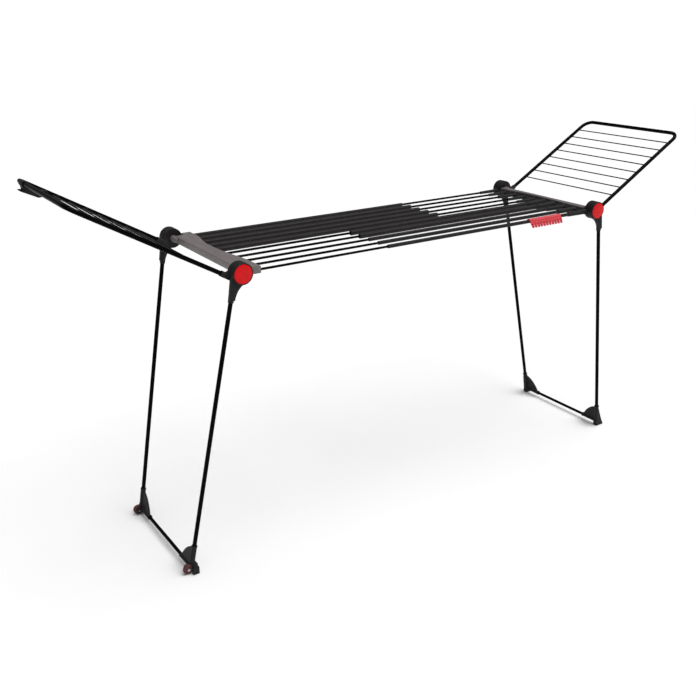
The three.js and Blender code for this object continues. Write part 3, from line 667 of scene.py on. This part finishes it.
drum = turned([
    (0, 0), (0, DRUM_RADIUS - 2 * MM), (0.6 * MM, DRUM_RADIUS - 0.6 * MM), (2 * MM, DRUM_RADIUS),
    (HUB_WIDTH - 0.6 * MM, DRUM_RADIUS), (HUB_WIDTH, DRUM_RADIUS - 0.6 * MM), (HUB_WIDTH, 0),
], (0, HUB_INNER, 0), (0, 1, 0), 72)
web = prism(rounded([
    (0, -DRUM_RADIUS), (WING_SOCKET_LENGTH - 14 * MM, -WING_DROP - WING_TUBE - MM),
    (WING_SOCKET_LENGTH - 14 * MM, -WING_DROP + WING_TUBE + MM), (DRUM_RADIUS * 0.94, -4 * MM), (0, 0),
], 6 * MM), HUB_INNER + 2 * MM, WING_HUB_OUTER - 3 * MM, "Y")
arm_start = on_wing_tube(4 * MM)
arm_end = on_wing_tube(WING_SOCKET_LENGTH)
arm_length = (arm_end - arm_start).length
arm = turned([
    (0, 0), (0, ARM_RADIUS["root"]), (arm_length - 6 * MM, ARM_RADIUS["end"] + 0.1 * MM),
    (arm_length - 5 * MM, ARM_RADIUS["end"]), (arm_length, ARM_RADIUS["end"]), (arm_length, 0),
], arm_start, arm_end, 36)
hole_start = on_wing_tube(WING_SOCKET_LENGTH - 36 * MM)
tube_hole = round_bar(WING_TUBE + CLEARANCE, 0, 40 * MM, hole_start, arm_end)
bolt_hole = round_bar(BOLT_RADIUS + CLEARANCE, 0, 40 * MM, (0, HUB_INNER - 12 * MM, 0), (0, 1, 0), 32)
face = prism([(-60 * MM, -60 * MM), (90 * MM, -60 * MM), (90 * MM, 60 * MM), (-60 * MM, 60 * MM)],
             WING_HUB_OUTER, WING_HUB_OUTER + 20 * MM, "Y")
for side in ("left", "right"):
    for place_name in ("front", "back"):
        mesh = carved("wing arm", drum, [
            ("UNION", web), ("UNION", arm), ("DIFFERENCE", face), ("DIFFERENCE", tube_hole),
            ("DIFFERENCE", bolt_hole)], remesh=0.8 * MM)
        hub = piece(f"{side}_{place_name}_wing_hub", mesh,
                    at_corner(side, place_name, WING_ANGLE), textured_abs)
        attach(hub, f"{side}_wing")
        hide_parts(f"{side}_{place_name}_wing_arm")


# ---- Wing frames ----
# A 14 mm steel tube bent into a wide U, with eight thin wires welded across it, all powder coated black.
# The tube's ends sit in the hub arms, and small weld beads show where the wires meet the tube.
WIRE_COUNT = 8
WIRE_RADIUS = 2.25 * MM
FIRST_WIRE = 64 * MM  # from the outer bar
WIRE_PITCH = 50.5 * MM
WING_CORNER = 38 * MM
TUBE_START = 16 * MM

# The tube: a path of straight edges with its corners bent to a radius, and a round section swept along it.
bent_tube, given = new_tree(
    "bent tube", ("Corner", "NodeSocketFloat"), ("Radius", "NodeSocketFloat"), ("Sides", "NodeSocketInt"),
    ("Material", "NodeSocketMaterial"))
path = add(bent_tube, "GeometryNodeMeshToCurve", {"Mesh": given["Geometry"]})
bends = add(bent_tube, "GeometryNodeFilletCurve", {"Curve": path.outputs["Curve"], "Radius": given["Corner"]})
if "Mode" in bends.inputs:
    bends.inputs["Mode"].default_value = "Poly"
else:
    bends.mode = "POLY"
bends.inputs["Count"].default_value = 12
section = add(bent_tube, "GeometryNodeCurvePrimitiveCircle", {
    "Resolution": given["Sides"], "Radius": given["Radius"]})
swept = add(bent_tube, "GeometryNodeCurveToMesh", {
    "Curve": bends.outputs["Curve"], "Profile Curve": section.outputs["Curve"], "Fill Caps": True})
ends_in(bent_tube, swept.outputs["Mesh"], given["Material"])

BEAD = 1.1 * MM  # the weld at each end of a wire
beads = [(0, WIRE_RADIUS + BEAD), (WING_TUBE, WIRE_RADIUS + BEAD),
         (WING_TUBE + 0.8 * MM, WIRE_RADIUS + 0.7 * BEAD), (WING_TUBE + 1.8 * MM, WIRE_RADIUS)]
beads += [(2 * WING_HALF - along, radius) for along, radius in reversed(beads)]
for side in ("left", "right"):
    line = bpy.data.meshes.new("path")
    corners = [on_wing_tube(TUBE_START), on_wing_tube(WING_LENGTH)]
    line.from_pydata([(p.x, -p.y, p.z) for p in corners] + [tuple(p) for p in reversed(corners)],
                     [(0, 1), (1, 2), (2, 3)], [])
    tube = grown("tube", line, bent_tube, {
        "Corner": WING_CORNER, "Radius": WING_TUBE, "Sides": 28, "Material": black_coat})
    wire = turned([(0, 0), *beads, (2 * WING_HALF, 0)], (0, -WING_HALF, 0), (0, 0, 0), 16)
    wires = grown("wires", closed_mesh("wire", wire), row, {
        "Count": WIRE_COUNT, "First": (WING_LENGTH - FIRST_WIRE, 0, -WING_DROP),
        "Step": (-WIRE_PITCH, 0, 0), "Material": black_coat})
    wing = piece(f"{side}_wing_rack", together("wing rack", tube, wires),
                 END_PLACE[side] @ Matrix.Rotation(-WING_ANGLE, 4, "Y"), black_coat)
    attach(wing, f"{side}_wing")
    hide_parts(f"{side}_wing_frame")


# ---- Wing clip ----
# A block of the same charcoal ABS snaps on the left wing's outer bar and first wire, towards the back.
# Its hook opens outwards and catches the frame of the other wing when the airer is folded.
CLIP_PLACE = 165 * MM
CLIP_WIDTH = 32 * MM
wire_x = WING_LENGTH - FIRST_WIRE
bar_hold = WING_TUBE + CLEARANCE
jaw = WING_LENGTH + bar_hold  # the outside of the bar in its hook
low = -WING_DROP - 22 * MM
clip_outline = rounded([
    (wire_x - 6 * MM, -WING_DROP + 5 * MM), (wire_x + 6 * MM, -WING_DROP + 5 * MM),
    (wire_x + 9 * MM, -WING_DROP - 5 * MM), (WING_LENGTH - bar_hold - 4 * MM, -WING_DROP - 5 * MM),
    (WING_LENGTH - bar_hold - 4 * MM, -WING_DROP + 4 * MM), (WING_LENGTH, -WING_DROP + bar_hold + 2.5 * MM),
    (jaw + 1.8 * MM, -WING_DROP + 4 * MM), (jaw + 1.8 * MM, -WING_DROP - 8 * MM),
    (jaw - 4 * MM, -WING_DROP - 11 * MM), (WING_LENGTH - 4 * MM, low + 3 * MM),
    (WING_LENGTH + 6 * MM, low - 2 * MM), (WING_LENGTH + 5 * MM, low - 4 * MM), (wire_x + 12 * MM, low),
    (wire_x - 6 * MM, -WING_DROP - 9 * MM)], 1.6 * MM)


def cross_bore(x, radius):
    """A cutter along Y through the clip."""
    return round_bar(radius, 0, 2 * CLIP_WIDTH, (x, -CLIP_PLACE - CLIP_WIDTH, -WING_DROP), (x, 0, -WING_DROP))


clip_block = prism(clip_outline, -CLIP_PLACE - CLIP_WIDTH / 2, -CLIP_PLACE + CLIP_WIDTH / 2, "Y")
clip = carved("clip", clip_block, [
    ("DIFFERENCE", cross_bore(WING_LENGTH, bar_hold)),
    ("DIFFERENCE", cross_bore(wire_x, WIRE_RADIUS + CLEARANCE)),
], remesh=0.6 * MM)
clip = piece("left_wing_clip", clip, END_PLACE["left"] @ Matrix.Rotation(-WING_ANGLE, 4, "Y"), textured_abs)
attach(clip, "left_wing")
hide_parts("wing_clip")


# ---- Leg hubs ----
# Outside each wing disc is a second, deeper drum in textured charcoal ABS. It carries the leg: a web
# flares down from the drum into a round socket, and the drum's open face is a pocket for the red cap.
SPLAY = radians(10.85)
LEG_OFFSET = 20.2 * MM  # the leg plane outside the hinge axis
LEG_TUBE = 7 * MM
LEG_TOP_HALF = 262 * MM
LEG_FOOT_HALF = 216.5 * MM
BAR_HEIGHT = 21 * MM
LEG_LENGTH = (left_hinge.z - BAR_HEIGHT + LEG_OFFSET * sin(SPLAY)) / cos(SPLAY)
LEG_SLOPE = (LEG_TOP_HALF - LEG_FOOT_HALF) / LEG_LENGTH
LEG_SOCKET_LENGTH = 92 * MM
LEG_SOCKET_START = 39 * MM
LEG_HUB_INNER = 255.4 * MM
LEG_HUB_OUTER = 277.4 * MM
CAP_RADIUS = 30 * MM
POCKET_FLOOR = LEG_HUB_OUTER - 6 * MM


def on_leg(down):
    """A point on the leg tube's centre line, in the leg frame's own frame."""
    return Vector((LEG_OFFSET, LEG_TOP_HALF - LEG_SLOPE * down, -down))


hub_width = LEG_HUB_OUTER - LEG_HUB_INNER
drum = turned([
    (0, 0), (0, DRUM_RADIUS - MM), (MM, DRUM_RADIUS), (hub_width - 3.2 * MM, DRUM_RADIUS),
    (hub_width - 1.6 * MM, DRUM_RADIUS - 0.5 * MM), (hub_width - 0.4 * MM, DRUM_RADIUS - 1.6 * MM),
    (hub_width, DRUM_RADIUS - 2.4 * MM), (hub_width, 0)], (0, LEG_HUB_INNER, 0), (0, 1, 0), 72)
socket_radius = LEG_TUBE + 2 * MM
neck_out = LEG_OFFSET + socket_radius
neck_in = LEG_OFFSET - socket_radius
neck_low = -LEG_SOCKET_LENGTH + 8 * MM
bend_from = Vector((neck_in, neck_low))
bend_by = Vector((neck_in - 2 * MM, -DRUM_RADIUS - 10 * MM))
bend_to = Vector((-DRUM_RADIUS * 0.55, -DRUM_RADIUS * 0.82))
flare = [(DRUM_RADIUS - 0.6 * MM, 0), (neck_out, neck_low), (neck_in, neck_low)]
flare += [tuple(bend(bend_from, bend_by, bend_to, step / 12)) for step in range(1, 13)]
flare.append((0, 0))
web = prism(flare, LEG_HUB_INNER, LEG_HUB_INNER + 13 * MM, "Y")
socket_end = on_leg(LEG_SOCKET_LENGTH)
socket_length = (socket_end - on_leg(LEG_SOCKET_START)).length
socket = round_bar(socket_radius, 0, socket_length, on_leg(LEG_SOCKET_START), socket_end)
leg_hole = round_bar(LEG_TUBE + CLEARANCE, 0, 60 * MM, on_leg(44.2 * MM), socket_end)
bolt_hole = round_bar(BOLT_RADIUS + CLEARANCE, 0, 40 * MM, (0, LEG_HUB_INNER - MM, 0), (0, 1, 0), 32)
head_hole = round_bar(9.5 * MM, 0, 8 * MM, (0, POCKET_FLOOR - 6 * MM, 0), (0, 1, 0), 32)
pocket = round_bar(CAP_RADIUS + 0.7 * MM, 0, 8 * MM, (0, POCKET_FLOOR, 0), (0, 1, 0), 72)
for side in ("left", "right"):
    for place_name in ("front", "back"):
        mesh = carved("leg hub", drum, [("UNION", web), ("UNION", socket), ("DIFFERENCE", leg_hole),
                                        ("DIFFERENCE", bolt_hole), ("DIFFERENCE", head_hole),
                                        ("DIFFERENCE", pocket)], remesh=0.8 * MM)
        hub = piece(f"{side}_{place_name}_leg_drum", mesh, at_corner(side, place_name, SPLAY), textured_abs)
        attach(hub, f"{side}_legs")
        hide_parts(f"{side}_{place_name}_leg_hub")


# ---- Hub caps ----
# A domed disc of gloss red ABS snaps into each hub's pocket and covers the bolt head. Its edge is rolled
# over, so that a dark line shows between it and the rim of the hub.
gloss_abs, tree, shader = new_material("gloss red moulded ABS")
place = add(tree, "ShaderNodeTexCoord").outputs["Object"]
flow = noise(tree, place, 15 * MM, 3.0)
put(tree, shader, {
    "Base Color": two_tone(tree, flow, "#cc0009", "#dc020d"),
    "Roughness": spread(tree, noise(tree, place, 4 * MM, 6.0, 0.7), 0.35, 0.7, 0.2, 0.34),
    "Normal": bumped(tree, flow, 0.3, 0.15 * MM),
    "Specular IOR Level": 0.2,
})

CAP_CROWN = 1.6 * MM
cap_base = POCKET_FLOOR + 0.3 * MM
cap_depth = LEG_HUB_OUTER - cap_base
dome = [(cap_depth + CAP_CROWN * (1 - (k / 8) ** 2), (CAP_RADIUS - 1.6 * MM) * k / 8)
        for k in range(8, -1, -1)]
cap = turned([(0, 0), (0, CAP_RADIUS - 0.4 * MM), (0.4 * MM, CAP_RADIUS), (cap_depth - 1.5 * MM, CAP_RADIUS),
              (cap_depth - 0.7 * MM, CAP_RADIUS - 0.25 * MM), (cap_depth - 0.2 * MM, CAP_RADIUS - 0.8 * MM),
              *dome], (0, cap_base, 0), (0, 1, 0), 72)
for side in ("left", "right"):
    for place_name in ("front", "back"):
        disc = piece(f"{side}_{place_name}_red_disc", closed_mesh("cap", cap),
                     at_corner(side, place_name, SPLAY), gloss_abs, 50)
        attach(disc, f"{side}_legs")
        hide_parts(f"{side}_{place_name}_hub_cap")


# ---- Leg tubes and crossbars ----
# Each leg frame is two straight 14 mm steel tubes and a 12 mm crossbar at the floor, powder coated black.
# Their ends are pushed into the leg hubs and the corner feet.
TUBE_STOP = 24 * MM  # the tube's end above the crossbar
BAR_STOP = 11 * MM  # the crossbar's end inside the corner
BAR_RADIUS = 6 * MM
END_EDGE = 0.6 * MM
bar_end = LEG_FOOT_HALF - BAR_STOP


def steel_bar(radius, start, end, length):
    """A straight bar from start towards end, with the edges of its two ends taken off."""
    return turned([(0, 0), (0, radius - END_EDGE), (END_EDGE, radius), (length - END_EDGE, radius),
                   (length, radius - END_EDGE), (length, 0)], start, end, 32)


for side in ("left", "right"):
    for place_name in ("front", "back"):
        top = on_leg(44.5 * MM)
        bottom = on_leg(LEG_LENGTH - TUBE_STOP)
        shell = steel_bar(LEG_TUBE, top, bottom, (bottom - top).length)
        leg = piece(f"{side}_{place_name}_leg", closed_mesh("leg", shell),
                    at_corner(side, place_name, SPLAY), black_coat)
        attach(leg, f"{side}_legs")
        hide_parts(f"{side}_{place_name}_leg_tube")
    bar_start = (LEG_OFFSET, -bar_end, -LEG_LENGTH)
    shell = steel_bar(BAR_RADIUS, bar_start, (LEG_OFFSET, 0, -LEG_LENGTH), 2 * bar_end)
    crossbar = piece(f"{side}_floor_bar", closed_mesh("floor bar", shell),
                     END_PLACE[side] @ Matrix.Rotation(-SPLAY, 4, "Y"), black_coat)
    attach(crossbar, f"{side}_legs")
    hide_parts(f"{side}_leg_crossbar")


# ---- Feet ----
# Corner mouldings in textured charcoal ABS join each leg to its crossbar: two collars and a web between
# them with a hollow curved edge. The right-hand ones run out to a skirt that stands on the floor. The
# left-hand ones carry a small wheel in a round well, with a rounded stop beside it.
CORNER_UP = 78 * MM
CORNER_IN = 80 * MM
FOOT_WALL = 2.2 * MM
RING_RISE = 0.9 * MM
RING_LENGTH = 5 * MM
WEB_THICKNESS = 7 * MM
to_end = Matrix.Rotation(-SPLAY, 4, "Y")
corner = on_leg(LEG_LENGTH)
corner_end = to_end @ corner  # the same corner in the end frame
floor_z = -left_hinge.z
up_leg = on_leg(LEG_LENGTH - CORNER_UP)
in_bar = Vector((LEG_OFFSET, corner.y - CORNER_IN, corner.z))
bend_from = Vector((up_leg.y, up_leg.z - 6 * MM))
bend_by = Vector((corner.y - CORNER_IN * 0.62, corner.z + CORNER_UP * 0.78))
bend_to = Vector((in_bar.y + 4 * MM, in_bar.z))
web_outline = [(corner.y, corner.z), (up_leg.y, up_leg.z - 6 * MM)]
web_outline += [tuple(bend(bend_from, bend_by, bend_to, step / 14)) for step in range(1, 15)]
corner_web = prism(web_outline, LEG_OFFSET - WEB_THICKNESS / 2, LEG_OFFSET + WEB_THICKNESS / 2, "X")


def foot_collar(radius, length, toward):
    """A collar from the corner, with a raised ring round its mouth."""
    ring = radius + RING_RISE
    return turned([(0, 0), (0, radius), (length - RING_LENGTH, radius), (length - RING_LENGTH, ring),
                   (length, ring), (length, 0)], corner, toward, 36)


collar_up = (up_leg - corner).length
up_collar = foot_collar(LEG_TUBE + FOOT_WALL, collar_up, up_leg)
bar_collar = foot_collar(BAR_RADIUS + FOOT_WALL, CORNER_IN, in_bar)
up_bore = round_bar(LEG_TUBE + CLEARANCE, TUBE_STOP - CLEARANCE, collar_up + MM, corner, up_leg)
bar_bore = round_bar(BAR_RADIUS + CLEARANCE, BAR_STOP - CLEARANCE, CORNER_IN + MM, corner, in_bar)


def lean(shell):
    """A shell of the leg frame, brought into the upright end frame."""
    return [to_end @ Vector(p) for p in shell[0]], shell[1]


# The right-hand skirt, drawn in X and Z.
SKIRT_REACH = 32 * MM
SKIRT_HEIGHT = 80 * MM
SKIRT_WIDTH = 20 * MM
leg_at_top = corner_end.x - (SKIRT_HEIGHT - BAR_HEIGHT) * sin(SPLAY) / cos(SPLAY)
skirt_toe = corner_end.x + SKIRT_REACH
skirt_heel = corner_end.x - 9 * MM
bend_from = Vector((skirt_toe, floor_z + 4 * MM))
bend_by = Vector((corner_end.x + 15 * MM, floor_z + 30 * MM))
bend_to = Vector((leg_at_top + 8 * MM, floor_z + SKIRT_HEIGHT))
skirt_outline = [(skirt_heel, floor_z), (skirt_toe - 2 * MM, floor_z), (skirt_toe, floor_z + 4 * MM)]
skirt_outline += [tuple(bend(bend_from, bend_by, bend_to, step / 12)) for step in range(1, 13)]
skirt_outline += [(leg_at_top - 8 * MM, floor_z + SKIRT_HEIGHT), (skirt_heel, floor_z + BAR_HEIGHT)]
skirt = prism(skirt_outline, LEG_FOOT_HALF - SKIRT_WIDTH / 2, LEG_FOOT_HALF + SKIRT_WIDTH / 2, "Y")

# The left-hand stop, ears and wheel well.
WHEEL_RADIUS = 17 * MM
WHEEL_WIDTH = 12 * MM
STOP_RADIUS = 11 * MM
EAR_RADIUS = 10 * MM
wheel_inner = LEG_FOOT_HALF - 2.5 * MM
wheel_outer = wheel_inner + WHEEL_WIDTH
wheel_place = Vector(joints["front_wheel_spin"]["pos_m"])
wheel_x = left_hinge.x - wheel_place.x  # outwards from the hinge axis
wheel_z = wheel_place.z - left_hinge.z
stop_back = corner_end.x - 19 * MM
stop_outline = [(stop_back, floor_z), (stop_back + 2 * STOP_RADIUS, floor_z)]
for k in range(17):
    turn = pi * k / 16
    stop_outline.append((stop_back + STOP_RADIUS + STOP_RADIUS * cos(turn),
                         floor_z + 22 * MM + STOP_RADIUS * sin(turn)))
stop = prism(stop_outline, wheel_outer + 0.8 * MM, wheel_outer + 12.8 * MM, "Y")


def block(low, high):
    """A square-cornered block between two opposite corners."""
    outline = [(low[0], low[2]), (high[0], low[2]), (high[0], high[2]), (low[0], high[2])]
    return prism(outline, low[1], high[1], "Y")


bridge = block((stop_back, LEG_FOOT_HALF - 16 * MM, floor_z + 5 * MM),
               (wheel_x - WHEEL_RADIUS - 1.6 * MM, wheel_outer + 2 * MM, floor_z + 31 * MM))
hub_line = ((wheel_x, wheel_inner, wheel_z), (wheel_x, 1, wheel_z))  # outwards from the wheel's inner face
ear_low = wheel_inner - 10 * MM
ear_high = wheel_inner - 0.6 * MM
ear = round_bar(EAR_RADIUS, 0, ear_high - ear_low, (wheel_x, ear_low, wheel_z), (wheel_x, 1, wheel_z))
ear_root = block((corner_end.x - 4 * MM, ear_low, wheel_z - 8 * MM), (wheel_x, ear_high, wheel_z + 9 * MM))
well = round_bar(WHEEL_RADIUS + 1.2 * MM, -0.6 * MM, WHEEL_WIDTH + 0.8 * MM, *hub_line, 48)
axle_hole = round_bar(2.8 * MM, -11 * MM, MM, *hub_line, 24)
for side in ("left", "right"):
    joined = [("UNION", lean(up_collar)), ("UNION", lean(bar_collar))]
    cut = [("DIFFERENCE", lean(up_bore)), ("DIFFERENCE", lean(bar_bore))]
    if side == "left":
        joined += [("UNION", ear), ("UNION", ear_root), ("UNION", bridge), ("UNION", stop)]
        cut += [("DIFFERENCE", well), ("DIFFERENCE", axle_hole)]
    else:
        joined.append(("UNION", skirt))
    for place_name in ("front", "back"):
        mesh = carved("foot", lean(corner_web), joined + cut, remesh=0.8 * MM)
        foot = piece(f"{side}_{place_name}_corner_foot", mesh, at_corner(side, place_name), textured_abs)
        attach(foot, f"{side}_legs")
        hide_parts(f"{side}_{place_name}_foot")


# ---- Wheels and axles ----
# Two small wheels in dull dark red polyethylene under the left-hand feet, with rounded shoulders, a shallow
# groove round the tread and a dished outer face. Each turns on a plated steel axle with a domed head.
dull_polyethylene, tree, shader = new_material("dull dark red moulded polyethylene")
place = add(tree, "ShaderNodeTexCoord").outputs["Object"]
mottled = two_tone(tree, noise(tree, place, 6 * MM, 4.0), "#4a2226", "#5c2b30")
grime = noise(tree, place, 2 * MM, 8.0, 0.75)
put(tree, shader, {
    "Base Color": rubbed(tree, mottled, "#7a5a5a", spread(tree, grime, 0.58, 0.78, 0.0, 0.4)),
    "Roughness": spread(tree, grime, 0.3, 0.7, 0.55, 0.75),
    "Normal": bumped(tree, grime, 0.4, 0.1 * MM),
})

hole = 2.9 * MM
wheel_shell = turned([
    (1.5 * MM, hole), (1.5 * MM, 6 * MM), (0, 7 * MM), (0, 13.5 * MM), (0.4 * MM, 15.2 * MM),
    (1.4 * MM, 16.5 * MM), (2.8 * MM, WHEEL_RADIUS), (4.6 * MM, WHEEL_RADIUS),
    (5.0 * MM, WHEEL_RADIUS - 0.8 * MM), (7.0 * MM, WHEEL_RADIUS - 0.8 * MM), (7.4 * MM, WHEEL_RADIUS),
    (9.2 * MM, WHEEL_RADIUS), (10.6 * MM, 16.5 * MM), (11.6 * MM, 15.2 * MM), (WHEEL_WIDTH, 13.5 * MM),
    (10.6 * MM, 12.4 * MM), (10.2 * MM, 11.5 * MM), (10.2 * MM, 7.4 * MM), (10.6 * MM, 6.6 * MM),
    (11.7 * MM, 5.8 * MM), (11.7 * MM, hole),
], *hub_line, 64)
for place_name in ("front", "back"):
    roller = piece(f"{place_name}_roller", closed_mesh("wheel", wheel_shell), at_corner("left", place_name),
                   dull_polyethylene)
    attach(roller, f"{place_name}_wheel")
    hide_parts(f"left_{place_name}_wheel")
    axle = frame["nodes"][f"left_{place_name}_wheel_axle"]
    axle.data.materials.clear()
    axle.data.materials.append(zinc_plate)


# ---- Small item strip ----
# A strip in satin coral red polypropylene hooks over the front rail near the right-hand end. Below a plain
# top band, a row of rounded teeth hangs down, each with a raised rib, and socks are pushed between them.
strip_low, strip_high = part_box("small_item_strip")
STRIP_TEETH = 11
STRIP_SLOT = 3.8 * MM
STRIP_WALL = 2.6 * MM
strip_length = strip_high.x - strip_low.x
tooth_pitch = strip_length / STRIP_TEETH
hook_inner = SLEEVE_RADIUS[RAIL_COUNT - 1] + 0.5 * MM
hook_outer = hook_inner + STRIP_WALL
rail_y = RAIL_Y[RAIL_COUNT - 1]
STRIP_LEAN = radians(32)  # its lower edge swings out from the rail

# Satin polypropylene in coral: even, slightly waxy, with flow lines along the strip.
coral_polypropylene, tree, shader = new_material("satin coral red moulded polypropylene")
place = add(tree, "ShaderNodeTexCoord").outputs["Object"]
flow = add(tree, "ShaderNodeMapping", {"Vector": place, "Scale": (0.3, 1, 1)}).outputs["Vector"]
lines = noise(tree, flow, 5 * MM, 5.0)
put(tree, shader, {
    "Base Color": two_tone(tree, lines, "#c22430", "#d43340"),
    "Roughness": spread(tree, lines, 0.3, 0.7, 0.36, 0.5),
    "Normal": bumped(tree, lines, 0.3, 0.08 * MM),
})

TOOTH_TOP = -18 * MM  # where the slots start, below the rail centre
TOOTH_LENGTH = 12 * MM
RIB_HALF = 1.3 * MM
WRAP_END = 0.35  # radians past the middle of the rail's back, where the hook ends
wrap = [pi - k * (pi + WRAP_END) / 20 for k in range(21)]  # round the rail, from the front to under its back
hook_section = [(-hook_outer, TOOTH_TOP)]
hook_section += [(hook_outer * cos(turn), hook_outer * sin(turn)) for turn in wrap]
hook_section += [(hook_inner * cos(turn), hook_inner * sin(turn)) for turn in reversed(wrap)]
hook_section.append((-hook_inner, TOOTH_TOP))
band = prism(hook_section, strip_low.x, strip_high.x, "X")
half = (tooth_pitch - STRIP_SLOT) / 2
tooth_outline = [(-half, 2 * MM), (-half, half - TOOTH_LENGTH)]
for k in range(1, 14):
    turn = pi * k / 14
    tooth_outline.append((-half * cos(turn), half - TOOTH_LENGTH - half * sin(turn)))
tooth_outline += [(half, half - TOOTH_LENGTH), (half, 2 * MM)]
tooth = prism(tooth_outline, -hook_outer, -hook_inner, "Y")
rib = prism(rounded([
    (-RIB_HALF, 9 * MM), (-RIB_HALF, -8 * MM), (RIB_HALF, -8 * MM), (RIB_HALF, 9 * MM),
], MM),
            -hook_outer - MM, -hook_outer + 0.5 * MM, "Y")
lip = prism(rounded([(0, 0), (0, 2 * MM), (-1.4 * MM, 1.4 * MM), (-1.4 * MM, 0.6 * MM)], 0.4 * MM),
            strip_low.x, strip_high.x, "X")
edge = ([Vector(p) + Vector((0, 0.4 * MM - hook_outer, -4 * MM)) for p in lip[0]], lip[1])
tooth_row = grown("teeth", closed_mesh("tooth", tooth, rib), row, {
    "Count": STRIP_TEETH, "First": (strip_low.x + tooth_pitch / 2, 0, TOOTH_TOP), "Step": (tooth_pitch, 0, 0),
    "Material": coral_polypropylene})
strip_place = Matrix.Translation((0, rail_y, RAIL_Z)) @ Matrix.Rotation(-STRIP_LEAN, 4, "X")
strip = together("strip", closed_mesh("band", band, edge), tooth_row)
strip = piece("sock_strip", strip, strip_place, coral_polypropylene)
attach(strip, "item_strip")
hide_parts("small_item_strip")
